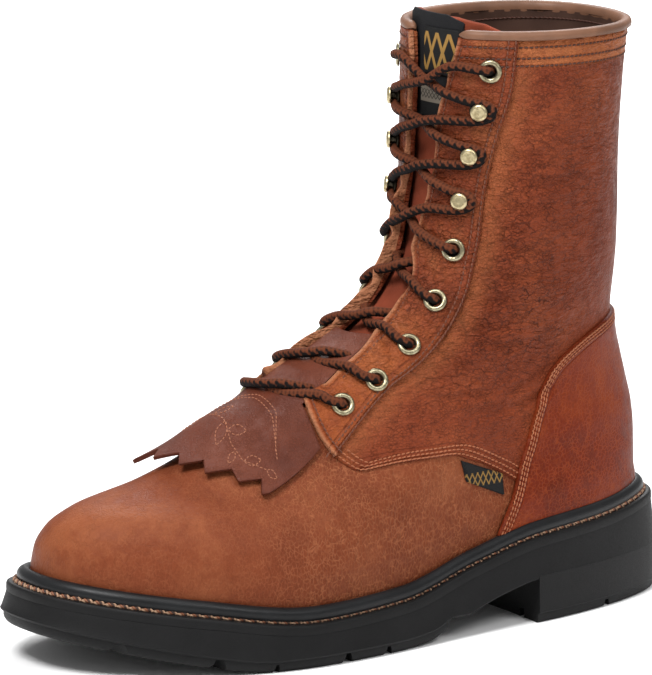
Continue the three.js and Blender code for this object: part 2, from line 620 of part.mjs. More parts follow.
// Lace crossings: two bars that join over the middle of the throat.
const middle = (z) => (throatLat(z) + throatMed(z)) / 2;
function laceBar(from, to) {
  const reach = from.side === 'lat' ? 1 : -1;
  const z0 = from.z;
  const z1 = to.z;
  const edgeX = (side, z) => (side === 'lat' ? throatLat(z) : throatMed(z));
  const zMid = (z0 + z1) / 2;
  const start = from[from.side] - reach * (eyeletRadius + 2.2);
  const stops = [
    { x: start, z: z0 + (z1 - z0) * 0.12, lift: eyestayTop + laceRadius + 0.5 },
    { x: edgeX(from.side, z0) - reach * 0.5, z: z0 + (z1 - z0) * 0.3, lift: eyestayTop + laceRadius + 0.4 },
    { x: middle(zMid), z: zMid, lift: laceRadius + (zMid < 132 ? 2.8 : 1.9) },
    { x: edgeX(to.side, z1) - Math.sign(to[to.side]) * 3, z: z0 + (z1 - z0) * 0.68, lift: laceRadius + (zMid < 132 ? 2.5 : 1.6) },
  ];
  const points = stops.map(({ x, z, lift }) => {
    const { point, normal } = surfacePoint(x, z, 0);
    return point.clone().addScaledVector(normal, lift);
  });
  const path = new THREE.CatmullRomCurve3(points);
  const round = new THREE.Shape(Array.from({ length: 5 }, (v, i) => {
    const a = (i * Math.PI * 2) / 5;
    return new THREE.Vector2(laceRadius * Math.cos(a), laceRadius * Math.sin(a));
  }));
  return toSolid(new THREE.ExtrudeGeometry(round, { steps: 3, extrudePath: path }));
}
const underLaces = underFittings.subtract(throatGap(0.4));
const pick = (side, index) => fittings.find((f) => f.side === side && f.index === index);
for (let i = 1; i < lacing.length; i += 1) {
  const one = laceBar(pick('lat', i), pick('med', i + 1));
  const two = laceBar(pick('med', i), pick('lat', i + 1));
  add(`lace_crossing_${i}`, one.add(two).subtract(underLaces), 'lace');
}

export default group;
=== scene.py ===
import math

import bpy
import numpy as np
from mathutils import Matrix, Vector
from mathutils.geometry import delaunay_2d_cdt


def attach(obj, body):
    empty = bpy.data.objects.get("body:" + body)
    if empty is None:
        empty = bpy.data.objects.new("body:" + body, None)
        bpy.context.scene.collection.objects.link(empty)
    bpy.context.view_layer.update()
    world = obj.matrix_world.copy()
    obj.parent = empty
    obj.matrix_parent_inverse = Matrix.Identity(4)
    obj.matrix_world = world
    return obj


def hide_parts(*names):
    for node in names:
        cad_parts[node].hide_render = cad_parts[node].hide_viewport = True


# Left lace-up work boot with a kiltie. Sizes are in millimetres and become metres in each mesh.
# +Z is up, the toe points to -Y and the outer side of the foot is at +X.
# A station s is the distance forward of the back of the sole, so y = heelCentre - s.

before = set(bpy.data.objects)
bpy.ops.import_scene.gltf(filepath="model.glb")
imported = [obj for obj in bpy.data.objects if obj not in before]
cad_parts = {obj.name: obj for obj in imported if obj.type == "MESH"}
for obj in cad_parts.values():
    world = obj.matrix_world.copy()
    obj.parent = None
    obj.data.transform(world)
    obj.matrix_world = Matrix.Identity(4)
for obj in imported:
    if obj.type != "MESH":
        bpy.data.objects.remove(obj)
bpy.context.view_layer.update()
scene = bpy.context.scene
scene.view_settings.view_transform = "Standard"
mm = 0.001

cameraView = {
    "place": (1973.13, -1554.90, 620.44), "azimuth": 54.11, "elevation": 11.54, "roll": 0.50, "lens": 320.0,
}
studio = {
    "floorSize": 9.0, "floorColour": (0.97, 0.97, 0.97), "world": 0.40,
    # a lamp that faces down and whitens the floor behind the boot: place, size, power
    "backdrop": ((-1.5, 1.15, 1.7), 1.6, 62),
    # name, direction the light comes from (azimuth, elevation), distance, size, power
    "lights": [
        ("key", 20, 54, 1.8, 0.7, 32), ("side", 100, 46, 1.9, 0.8, 12),
        ("back", 200, 42, 2.0, 1.0, 2), ("top", 60, 80, 1.7, 0.8, 7),
    ],
}


def direction(azimuth, elevation):
    a, e = math.radians(azimuth), math.radians(elevation)
    return Vector((math.sin(a) * math.cos(e), -math.cos(a) * math.cos(e), math.sin(e)))


def addCamera():
    camera = bpy.data.objects.new("camera", bpy.data.cameras.new("camera"))
    scene.collection.objects.link(camera)
    a, roll = math.radians(cameraView["azimuth"]), math.radians(cameraView["roll"])
    back = direction(cameraView["azimuth"], cameraView["elevation"])
    right = Vector((math.cos(a), math.sin(a), 0))
    up = back.cross(right)
    rolledRight = right * math.cos(roll) + up * math.sin(roll)
    rolledUp = up * math.cos(roll) - right * math.sin(roll)
    turn = Matrix((rolledRight, rolledUp, back)).transposed().to_4x4()
    camera.matrix_world = Matrix.Translation(Vector(cameraView["place"]) * mm) @ turn
    camera.data.lens = cameraView["lens"]
    camera.data.sensor_width = 36
    camera.data.clip_end = 30
    scene.camera = camera


def addLamp(name, place, width, power):
    data = bpy.data.lights.new(name, "AREA")
    data.shape, data.size, data.energy = "DISK", width, power
    lamp = bpy.data.objects.new(name, data)
    lamp.location = place
    scene.collection.objects.link(lamp)
    return lamp


def addStudio():
    size = studio["floorSize"] / 2
    mesh = bpy.data.meshes.new("floor")
    corners = [(-size, -size, 0), (size, -size, 0), (size, size, 0), (-size, size, 0)]
    mesh.from_pydata(corners, [], [(0, 1, 2, 3)])
    floor = bpy.data.objects.new("floor", mesh)
    scene.collection.objects.link(floor)
    pale = bpy.data.materials.new("floorPale")
    pale.use_nodes = True
    pale.node_tree.nodes["Principled BSDF"].inputs["Base Color"].default_value = (*studio["floorColour"], 1)
    pale.node_tree.nodes["Principled BSDF"].inputs["Roughness"].default_value = 0.9
    mesh.materials.append(pale)
    world = bpy.data.worlds.new("studio")
    world.use_nodes = True
    world.node_tree.nodes["Background"].inputs["Color"].default_value = (1, 1, 1, 1)
    world.node_tree.nodes["Background"].inputs["Strength"].default_value = studio["world"]
    scene.world = world
    aim = Vector((0, -0.08, 0.1))
    for name, azimuth, elevation, distance, width, power in studio["lights"]:
        out = direction(azimuth, elevation)
        lamp = addLamp(name, aim + out * distance, width, power)
        lamp.rotation_euler = out.to_track_quat("Z", "Y").to_euler()
    addLamp("backdrop", *studio["backdrop"])


addCamera()
addStudio()
print("camera and studio")

# The last: one function of height and station, the same as in the part.
heelCentre, collarHeight, fadeHeight, feather = 38, 245.6, 135, 0.3
solePlan = {
    "back": 0, "front": 306, "lat": 57.4, "med": 53.2, "wide": 0.66, "nBack": 3, "nLat": 1.94, "nMed": 2.52,
    "taper": 0.26, "waistLat": 4, "waistMed": 9, "swing": -11.35,
}
levelColumns = [
    "h", "back", "front", "lat", "med", "wide", "nBack", "nLat", "nMed", "taper",
    "waistLat", "waistMed", "swing",
]
levels = [
    [0, 7.4, 298.1, 51.0, 46.8, 0.66, 3.0, 1.95, 2.50, 0.26, 4.0, 9, -11],
    [8, 9.0, 297.0, 52.1, 48.1, 0.66, 3.0, 1.95, 2.50, 0.26, 4.0, 9, -11],
    [20, 10.6, 296.0, 52.2, 48.7, 0.64, 2.9, 1.95, 2.40, 0.26, 3.5, 8, -11],
    [32, 10.2, 292.0, 50.0, 47.4, 0.62, 2.8, 1.95, 2.30, 0.25, 3.0, 6, -10],
    [43, 9.8, 282.0, 47.0, 45.4, 0.59, 2.7, 1.90, 2.20, 0.24, 2.0, 4, -8],
    [56, 10.6, 254.2, 43.5, 42.5, 0.56, 2.6, 1.85, 2.10, 0.22, 1.0, 2, -6],
    [72, 13.2, 229.0, 39.0, 38.5, 0.53, 2.5, 1.85, 2.00, 0.18, 0, 1, -4],
    [88, 16.4, 211.5, 36.4, 36.4, 0.50, 2.4, 1.90, 1.95, 0.12, 0, 0, -3],
    [104, 19.8, 186.8, 35.3, 35.3, 0.48, 2.3, 2.00, 2.00, 0.06, 0, 0, -2],
    [125, 22.5, 150.0, 35.8, 35.8, 0.48, 2.2, 2.10, 2.10, 0.02, 0, 0, -1],
    [155, 22.9, 124.2, 38.8, 38.8, 0.48, 2.2, 2.10, 2.10, 0, 0, 0, 0],
    [195, 24.6, 116.8, 41.4, 41.4, 0.49, 2.2, 2.10, 2.10, 0, 0, 0, 0],
    [249, 20.8, 116.0, 43.2, 43.2, 0.50, 2.2, 2.10, 2.10, 0, 0, 0, 0],
]
throat = {
    "z": [84, 92, 100, 110, 119, 132, 140, 147, 159, 173, 186, 199, 220, 232, 249, 262],
    "lat": [15.2, 16.4, 16.6, 16.0, 14.6, 11.4, 9.4, 9.0, 5.2, 6.4, 7.8, 8.6, 11.6, 14.8, 18.8, 20],
    "med": [-12, -12, -11, -9.4, -8.4, -8.0, -8.4, -9.2, -9.0, -10.6, -9.6, -9.2, -8.2, -8.4, -9.6, -10],
}


def curve(xs, ys):  # monotone cubic through the points of a table
    xs, ys = np.asarray(xs, float), np.asarray(ys, float)
    step = np.diff(xs)
    slope = np.diff(ys) / step
    tangent = np.zeros(len(xs))
    for i in range(1, len(xs) - 1):
        if slope[i - 1] * slope[i] > 0:
            a, b = 2 * step[i] + step[i - 1], step[i] + 2 * step[i - 1]
            tangent[i] = (a + b) / (a / slope[i - 1] + b / slope[i])
    for end, (h0, h1, d0, d1) in (
        (0, (step[0], step[1], slope[0], slope[1])), (-1, (step[-1], step[-2], slope[-1], slope[-2])),
    ):
        m = ((2 * h0 + h1) * d0 - h0 * d1) / (h0 + h1)
        if m * d0 <= 0:
            m = 0
        elif d0 * d1 <= 0 and abs(m) > 3 * abs(d0):
            m = 3 * d0
        tangent[end] = m

    def at(x):
        c = np.clip(x, xs[0], xs[-1])
        i = np.clip(np.searchsorted(xs, c, side="right") - 1, 0, len(xs) - 2)
        t = (c - xs[i]) / step[i]
        u = 1 - t
        return (ys[i] * (1 + 2 * t) * u * u + tangent[i] * step[i] * t * u * u
                + ys[i + 1] * t * t * (3 - 2 * t) - tangent[i + 1] * step[i] * t * t * u)

    return at


rimZ = curve([-20, 0, 40, 85, 120, 160, 205, 255, 306, 330],
             [42.8, 42.3, 38.6, 36.2, 29.2, 19.6, 17.8, 24.4, 32.6, 37])
treadZ = curve(
    [80, 88, 106, 120, 130, 138, 146, 165, 225, 236, 247, 260, 281, 300, 312],
    [19.2, 18.8, 15.6, 11.6, 8, 4.6, 1.6, 0, 0, 0.9, 2.8, 5.3, 9.8, 14.2, 17.2],
)
throatLat = curve(throat["z"], throat["lat"])
throatMed = curve(throat["z"], throat["med"])
levelCurves = {
    name: curve([row[0] for row in levels], [row[k] for row in levels])
    for k, name in enumerate(levelColumns) if k > 0
}


def planAt(h):
    return {name: float(f(h)) for name, f in levelCurves.items()}


def grown(plan, by):
    return {**plan, "back": plan["back"] - by, **{key: plan[key] + by for key in ("front", "lat", "med")}}


def planHalf(plan, side, steps=150):  # one side, heel to toe, as x and s
    keys = ("lat", "waistLat", "nLat") if side > 0 else ("med", "waistMed", "nMed")
    half, dip, toe = (plan[key] for key in keys)
    m = plan["wide"]
    a = np.linspace(0, math.pi / 2, steps + 1)
    b = a[1:]
    back, front = 2 / plan["nBack"], 2 / toe
    c = np.concatenate([m * (1 - np.maximum(np.cos(a), 0) ** back),
                        m + (1 - m) * np.minimum(np.sin(b), 1) ** front])
    w = np.concatenate([np.maximum(np.sin(a), 0) ** back, np.maximum(np.cos(b), 0) ** front])
    narrow = 1 - plan["taper"] * np.clip((m - c) / m, 0, 1) ** 1.2
    swing = plan["swing"] * np.maximum((c - 0.45) / 0.55, 0) ** 1.6
    waist = dip * w * np.exp(-(((c - 0.42) / 0.16) ** 2))
    along = plan["back"] + (plan["front"] - plan["back"]) * c
    return np.stack([swing + side * (half * w * narrow - waist), along], 1)


def lengthsAlong(points):  # how far along a line each of its points lies
    return np.concatenate([[0], np.cumsum(np.linalg.norm(np.diff(points, axis=0), axis=1))])


def evenly(points, count):
    along = lengthsAlong(points)
    at = np.linspace(0, along[-1], count)
    return np.stack([np.interp(at, along, points[:, k]) for k in range(points.shape[1])], 1)


def planRing(plan, count):  # closed ring from the heel round the outer side to the toe and back, as x and s
    outer = evenly(planHalf(plan, 1), count // 2 + 1)
    inner = evenly(planHalf(plan, -1), count // 2 + 1)
    return np.concatenate([outer, inner[-2:0:-1]])


# The upper's surface as a table over u and v. u runs once round from the heel, 0 to 600, with the
# front at 300 and the outer side first; v runs up each line, 0 at the feather edge and 300 at the collar.
columns, vLow, vStep, vCount = 960, -9.0, 0.6, 556
rowHeights = np.arange(-14.0, 280.0, 1.0)


def buildSurface():
    stack = []
    for h in rowHeights:
        level = min(max(h, 0), 249)
        ring = planRing(planAt(level), columns)
        fade = max(1 - level / fadeHeight, 0)
        height = h + (rimZ(ring[:, 1]) + feather) * fade
        stack.append(np.stack([ring[:, 0], heelCentre - ring[:, 1], height], 1))
    stack = np.array(stack)
    steps = np.linalg.norm(np.diff(stack, axis=0), axis=2)
    along = np.concatenate([np.zeros((1, columns)), np.cumsum(steps, axis=0)])
    zero = np.array([np.interp(0, rowHeights, along[:, k]) for k in range(columns)])
    top = np.array([np.interp(collarHeight, rowHeights, along[:, k]) for k in range(columns)])
    v = (along - zero) / (top - zero) * 300
    grid = vLow + vStep * np.arange(vCount)
    table = np.empty((vCount, columns, 3))
    for k in range(columns):
        for axis in range(3):
            table[:, k, axis] = np.interp(grid, v[:, k], stack[:, k, axis])
    return table


def tableNormals(table):
    du = np.roll(table, -1, axis=1) - np.roll(table, 1, axis=1)
    dv = np.gradient(table, axis=0)
    normal = np.cross(dv, du)
    return normal / np.linalg.norm(normal, axis=2, keepdims=True)


def smoothed(table, rounds):
    for _ in range(rounds):
        table = (np.roll(table, 1, axis=1) + 2 * table + np.roll(table, -1, axis=1)) / 4
        inner = (table[:-2] + 2 * table[1:-1] + table[2:]) / 4
        table = np.concatenate([table[:1], inner, table[-1:]])
    return table


surfaceTable = buildSurface()
normalTable = smoothed(tableNormals(smoothed(surfaceTable, 4)), 4)


def sampled(table, u, v):  # cubic between the table's rows and columns
    fu = np.asarray(u, float) / 600 * columns
    fv = np.clip((np.asarray(v, float) - vLow) / vStep, 1, vCount - 2.001)
    iu, iv = np.floor(fu).astype(int), np.floor(fv).astype(int)
    tu, tv = fu - iu, fv - iv

    def weights(t):
        near = [(-t + 2 * t * t - t**3) / 2, (2 - 5 * t * t + 3 * t**3) / 2]
        return near + [(t + 4 * t * t - 3 * t**3) / 2, (t**3 - t * t) / 2]

    wu, wv = weights(tu), weights(tv)
    total = 0
    for j in range(4):
        row = 0
        for i in range(4):
            row = row + table[iv + j - 1, (iu + i - 1) % columns] * wu[i][..., None]
        total = total + row * wv[j][..., None]
    return total


def surface(u, v):
    return sampled(surfaceTable, u, v)


def normals(u, v):
    n = sampled(normalTable, u, v)
    return n / np.linalg.norm(n, axis=-1, keepdims=True)


def lifted(u, v, by):
    return surface(u, v) + normals(u, v) * np.asarray(by, float)[..., None]


viewAxes = {
    "side": lambda p: np.stack([heelCentre - p[..., 1], p[..., 2]], -1),
    "front": lambda p: np.stack([p[..., 0], p[..., 2]], -1),
    "plan": lambda p: np.stack([p[..., 0], heelCentre - p[..., 1]], -1),
}
everyFourth = np.arange(0, columns, 4) * 600 / columns
coarseU, coarseV = np.meshgrid(everyFourth, vLow + vStep * np.arange(2, vCount, 3))
coarseP = surface(coarseU, coarseV)
coarseN = normals(coarseU, coarseV)
regions = {
    "outer": (coarseU > 1) & (coarseU < 299),
    "inner": (coarseU > 301) & (coarseU < 599),
    "front": (coarseU > 200) & (coarseU < 400) & (coarseN[..., 1] < -0.1),
    "top": (coarseN[..., 2] > 0.12) & (coarseP[..., 1] < -60),
    "heel": (coarseU < 70) | (coarseU > 530),
}


def located(view, points, region):  # u and v of places given in a view, on one region of the upper
    points = np.asarray(points, float)
    mask = regions[region]
    flat, us, vs = viewAxes[view](coarseP[mask]), coarseU[mask], coarseV[mask]
    nearest = np.array([np.argmin(((flat - p) ** 2).sum(1)) for p in points])
    u, v = us[nearest].copy(), vs[nearest].copy()
    for _ in range(7):
        here = viewAxes[view](surface(u, v))
        du = (viewAxes[view](surface(u + 0.4, v)) - here) / 0.4
        dv = (viewAxes[view](surface(u, v + 0.4)) - here) / 0.4
        miss = points - here
        det = du[:, 0] * dv[:, 1] - du[:, 1] * dv[:, 0]
        det = np.where(np.abs(det) < 0.02, np.sign(det + 1e-12) * 0.02, det)
        u += np.clip((miss[:, 0] * dv[:, 1] - miss[:, 1] * dv[:, 0]) / det, -4, 4)
        v += np.clip((du[:, 0] * miss[:, 1] - du[:, 1] * miss[:, 0]) / det, -4, 4)
    return np.stack([u, v], 1)


def densely(points, step=1.5):
    points = np.asarray(points, float)
    out = [points[:1]]
    for a, b in zip(points[:-1], points[1:]):
        n = max(1, int(math.ceil(np.linalg.norm(b - a) / step)))
        out.append(a + (b - a) * np.linspace(0, 1, n + 1)[1:, None])
    return np.concatenate(out)


def smoothLine(points, step=1.5):  # a soft curve through the points of a view
    points = np.asarray(points, float)
    at = lengthsAlong(points)
    n = max(4, int(at[-1] / step))
    t = np.linspace(0, at[-1], n)
    out = np.empty((n, 2))
    for k in range(2):
        out[:, k] = hermite(at, points[:, k], t)
    return out


def hermite(xs, ys, t):  # Catmull-Rom through unevenly spaced points
    m = np.gradient(ys, xs)
    i = np.clip(np.searchsorted(xs, t, side="right") - 1, 0, len(xs) - 2)
    h = xs[i + 1] - xs[i]
    r = (t - xs[i]) / h
    return (ys[i] * (1 + 2 * r) * (1 - r) ** 2 + m[i] * h * r * (1 - r) ** 2
            + ys[i + 1] * r * r * (3 - 2 * r) - m[i + 1] * h * r * r * (1 - r))


def onView(view, points, region, soft=False):
    return located(view, smoothLine(points) if soft else densely(points), region)


print("surface ready")


# Sheets: a closed panel of leather or cloth on the surface, cut to an outline in u and v.
# Meshing: spacing along the outline, free space inside it and round a hole, the height of a row of
# triangles for its width, and how far above or below a line its distance is measured.
meshing = {"outline": 1.1, "clear": 0.55, "holeClear": 0.6, "rowHeight": 0.866, "reach": 26}


def insideOf(points, polygon):
    inside = np.zeros(len(points), bool)
    x, y = points[:, 0], points[:, 1]
    for (x0, y0), (x1, y1) in zip(polygon, np.roll(polygon, -1, axis=0)):
        if y0 != y1:
            inside ^= ((y0 > y) != (y1 > y)) & (x < (x1 - x0) * (y - y0) / (y1 - y0) + x0)
    return inside


def stretch(uv):  # millimetres for one unit of u and of v
    here = surface(uv[:, 0], uv[:, 1])
    su = np.linalg.norm(surface(uv[:, 0] + 1, uv[:, 1]) - here, axis=1)
    sv = np.linalg.norm(surface(uv[:, 0], uv[:, 1] + 1) - here, axis=1)
    return np.maximum(np.stack([su, sv], 1), 0.2)


def resampled(uv, step, closed=False):  # even steps along a line on the surface
    if closed:
        uv = np.concatenate([uv, uv[:1]])
    p = surface(uv[:, 0], uv[:, 1])
    along = lengthsAlong(p)
    keep = np.concatenate([[True], np.diff(along) > 1e-6])
    n = max(3, int(round(along[-1] / step)))
    t = np.linspace(0, along[-1], n + 1)
    out = np.stack([np.interp(t, along[keep], uv[keep, k]) for k in range(2)], 1)
    return out[:-1] if closed else out


def lineDistance(points, line, closed=True):  # least distance of points to a line of points, in 3-D
    a = line if closed else line[:-1]
    b = np.roll(line, -1, axis=0) if closed else line[1:]
    best = np.full(len(points), 1e9)
    d = b - a
    size = np.maximum((d * d).sum(1), 1e-12)
    for k in range(len(a)):
        near = np.abs(points[:, 2] - a[k, 2]) < meshing["reach"]
        q = points[near] - a[k]
        t = np.clip(q @ d[k] / size[k], 0, 1)
        q = q - t[:, None] * d[k]
        best[near] = np.minimum(best[near], (q * q).sum(1))
    return np.sqrt(best)


def makeMesh(name, points, faces, material, uv=None, sharp=40, extra=None):
    mesh = bpy.data.meshes.new(name)
    mesh.from_pydata((np.asarray(points) * mm).tolist(), [], [list(map(int, f)) for f in faces])
    mesh.update()
    if uv is not None:
        layer = mesh.uv_layers.new(name="UVMap")
        corner = np.empty(len(mesh.loops), np.int32)
        mesh.loops.foreach_get("vertex_index", corner)
        layer.data.foreach_set("uv", np.asarray(uv, np.float32)[corner].ravel())
    for key, values in (extra or {}).items():
        data = mesh.attributes.new(key, "FLOAT", "POINT")
        data.data.foreach_set("value", np.asarray(values, np.float32))
    mesh.shade_smooth()
    mesh.set_sharp_from_angle(angle=math.radians(sharp))
    mesh.materials.append(material)
    piece = bpy.data.objects.new(name, mesh)
    scene.collection.objects.link(piece)
    return piece


def circleOn(centre, radius, count=20):  # a round hole's rim in u and v
    scale = stretch(np.array([centre]))[0]
    a = np.arange(count) * 2 * math.pi / count
    return np.array(centre) + np.stack([np.cos(a), np.sin(a)], 1) * radius / scale


def sheet(name, outline, outer, inner, material, step=(1.5, 1.5), edge=0.5, relief=None,
          insets=(0.3, 0.8), holes=()):
    outline = resampled(np.asarray(outline), meshing["outline"], closed=True)
    area = (outline[:, 0] * np.roll(outline[:, 1], -1) - np.roll(outline[:, 0], -1) * outline[:, 1]).sum()
    if area < 0:
        outline = outline[::-1]
    scale = stretch(outline)
    line3 = surface(outline[:, 0], outline[:, 1])
    tangent = (np.roll(outline, -1, axis=0) - np.roll(outline, 1, axis=0)) * scale
    inward = np.stack([-tangent[:, 1], tangent[:, 0]], 1)
    inward /= np.linalg.norm(inward, axis=1, keepdims=True) + 1e-9
    rows = [outline]
    for by in insets:
        row = outline + inward * by / scale
        far = lineDistance(surface(row[:, 0], row[:, 1]), line3) > by * 0.85
        row = row[far & insideOf(row, outline)]
        rows.append(row)
    low, high = outline.min(0), outline.max(0)
    du, dv = step[0], step[1] * meshing["rowHeight"]
    us = np.arange(low[0], high[0] + du, du)
    vs = np.arange(low[1], high[1] + dv, dv)
    gridU, gridV = np.meshgrid(us, vs)
    gridU = gridU + (np.arange(len(vs)) % 2)[:, None] * du / 2
    grid = np.stack([gridU.ravel(), gridV.ravel()], 1)
    grid = grid[insideOf(grid, outline)]
    free = (insets[-1] if insets else 0) + meshing["clear"]
    grid = grid[lineDistance(surface(grid[:, 0], grid[:, 1]), line3) > free]
    n = len(outline)
    edges = [(k, (k + 1) % n) for k in range(n)]
    rims = [circleOn(centre, radius) for centre, radius in holes]
    start = n
    for (centre, radius), rim in zip(holes, rims):
        edges += [(start + k, start + (k + 1) % len(rim)) for k in range(len(rim))]
        start += len(rim)
        scaled = (grid - centre) * stretch(np.array([centre]))[0]
        grid = grid[np.linalg.norm(scaled, axis=1) > radius + meshing["holeClear"]]
    points = np.concatenate(rows[:1] + rims + rows[1:] + [grid])
    placed, _, triangles, _, _, _ = delaunay_2d_cdt([Vector(p) for p in points], edges, [], 0, 1e-7)
    flat = np.array([tuple(p) for p in placed])
    tri = np.array([f for f in triangles if len(f) == 3])
    middle = flat[tri].mean(1)
    keep = insideOf(middle, outline)
    for rim in rims:
        keep &= ~insideOf(middle, rim)
    tri = tri[keep]
    used, index = np.unique(tri, return_inverse=True)
    flat, tri = flat[used], index.reshape(-1, 3)
    a, b, c = flat[tri[:, 0]], flat[tri[:, 1]], flat[tri[:, 2]]
    turn = (b[:, 0] - a[:, 0]) * (c[:, 1] - a[:, 1]) - (b[:, 1] - a[:, 1]) * (c[:, 0] - a[:, 0])
    tri[turn < 0] = tri[turn < 0][:, ::-1]
    u, v = flat[:, 0], flat[:, 1]
    base = surface(u, v)
    away = lineDistance(base, line3)
    normal = normals(u, v)
    top = outer(u, v, base) if callable(outer) else np.full(len(u), float(outer))
    bottom = inner(u, v, base) if callable(inner) else np.full(len(u), float(inner))
    extra = {}
    if relief is not None:
        shift, extra = relief(u, v, base, away)
        top = top + shift
    if edge > 0:
        bend = np.clip(1 - away / edge, 0, 1)
        top = top - edge * (1 - np.sqrt(1 - bend**2)) * np.minimum(1, 0.85 * (top - bottom) / edge)
    count = len(flat)
    side = {}
    for t in tri:
        for k in range(3):
            side[(int(t[k]), int(t[(k + 1) % 3]))] = True
    rim = [(p, q) for p, q in side if (q, p) not in side]
    faces = [t[::-1] for t in tri] + [t + count for t in tri]
    faces += [(p, q, q + count, p + count) for p, q in rim]
    vertices = np.concatenate([base + normal * top[:, None], base + normal * bottom[:, None]])
    uv = np.concatenate([flat, flat])
    extra = {key: np.concatenate([value, value]) for key, value in extra.items()}
    extra["edgeAway"] = np.concatenate([away, away * 0])
    return makeMesh(name, vertices, faces, material, uv, extra=extra)


def ringMesh(name, rings, material, closed=False, caps=True, sharp=35, extra=None):
    # closed solid through equal rings that run clockwise from above, from the bottom up
    n = len(rings[0])
    points = np.concatenate(rings)
    faces = []
    for k in range(len(rings) - (0 if closed else 1)):
        low, high = k * n, ((k + 1) % len(rings)) * n
        faces += [(low + i, high + i, high + (i + 1) % n, low + (i + 1) % n) for i in range(n)]
    if caps and not closed:
        last = (len(rings) - 1) * n
        for i in range(n // 2):
            a, b, c, d = i, i + 1, (n - i) % n, n - i - 1
            if b != d:
                faces += [(a, b, d), (last + a, last + d, last + b)]
            if a != c:
                faces += [(a, d, c), (last + a, last + c, last + d)]
    return makeMesh(name, points, faces, material, sharp=sharp, extra=extra)


def soleRing(plan, z, count):
    ring = planRing(plan, count)
    s = ring[:, 1]
    return np.stack([ring[:, 0], heelCentre - s, z(s) if callable(z) else np.full(len(s), float(z))], 1)


def finish(piece, slot, *nodes):
    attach(piece, "root")
    if nodes:
        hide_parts(*nodes)


# Materials
def nodeMaker(tree):
    def make(kind, inputs=None, **settings):
        node = tree.nodes.new(kind)
        for key, value in settings.items():
            setattr(node, key, value)
        for key, value in (inputs or {}).items():
            if isinstance(value, bpy.types.NodeSocket):
                tree.links.new(value, node.inputs[key])
            else:
                node.inputs[key].default_value = value
        return node

    return make


def startMaterial(name, **fixed):  # a Principled material, its node maker and its place in millimetres
    material = bpy.data.materials.new(name)
    material.use_nodes = True
    tree = material.node_tree
    shader = tree.nodes["Principled BSDF"]
    for key, value in fixed.items():
        shader.inputs[key.replace("_", " ")].default_value = value
    make = nodeMaker(tree)
    place = make("ShaderNodeTexCoord").outputs["Object"]
    place = make("ShaderNodeVectorMath", {0: place, "Scale": 1000.0}, operation="SCALE").outputs[0]
    return material, tree, shader, make, place


def mathNode(make, operation, a, b=0.0):
    return make("ShaderNodeMath", {0: a, 1: b}, operation=operation).outputs[0]


def times(make, a, b):
    return mathNode(make, "MULTIPLY", a, b)


def plus(make, a, b):
    return mathNode(make, "ADD", a, b)


def minus(make, a, b):
    return mathNode(make, "SUBTRACT", a, b)


def larger(make, a, b):
    return mathNode(make, "MAXIMUM", a, b)


def apart(make, a, b):  # the size of the difference
    return mathNode(make, "ABSOLUTE", minus(make, a, b))


def ranged(make, value, low, high, toLow=0.0, toHigh=1.0):
    inputs = {"Value": value, "From Min": low, "From Max": high, "To Min": toLow, "To Max": toHigh}
    node = make("ShaderNodeMapRange", inputs)
    node.interpolation_type = "SMOOTHSTEP"
    return node.outputs[0]


def mixed(make, factor, a, b):
    node = make("ShaderNodeMix", {"Factor": factor}, data_type="RGBA")
    for key, value in (("A", a), ("B", b)):
        socket = [s for s in node.inputs if s.name == key and s.type == "RGBA"][0]
        if isinstance(value, bpy.types.NodeSocket):
            node.id_data.links.new(value, socket)
        else:
            socket.default_value = (*value, 1)
    return [s for s in node.outputs if s.type == "RGBA"][0]


def vectorNode(make, operation, a, b):
    return make("ShaderNodeVectorMath", {0: a, 1: b}, operation=operation).outputs[0]


def noise(make, place, scale, detail, rough, stretchBy=None):
    if stretchBy:
        place = vectorNode(make, "MULTIPLY", place, stretchBy)
    inputs = {"Vector": place, "Scale": scale, "Detail": detail, "Roughness": rough}
    return make("ShaderNodeTexNoise", inputs).outputs["Fac"]


def cells(make, place, scale, warp, stretchBy):  # the distance to the edges of warped cells
    coarse = {"Vector": place, "Scale": scale * 0.9, "Detail": 2.0}
    wobble = make("ShaderNodeTexNoise", coarse).outputs["Color"]
    wobble = vectorNode(make, "SUBTRACT", wobble, (0.5, 0.5, 0.5))
    wobble = make("ShaderNodeVectorMath", {0: wobble, "Scale": warp / scale}, operation="SCALE").outputs[0]
    place = vectorNode(make, "MULTIPLY", vectorNode(make, "ADD", place, wobble), stretchBy)
    edges = make("ShaderNodeTexVoronoi", {"Vector": place, "Scale": scale}, feature="DISTANCE_TO_EDGE")
    return edges.outputs["Distance"]


def attribute(make, name):
    return make("ShaderNodeAttribute", attribute_name=name).outputs["Fac"]


def bumped(make, shader, height, depth):  # depth in millimetres for a height of 1
    node = make("ShaderNodeBump", {"Height": height, "Distance": depth * mm, "Strength": 1.0})
    shader.id_data.links.new(node.outputs[0], shader.inputs["Normal"])


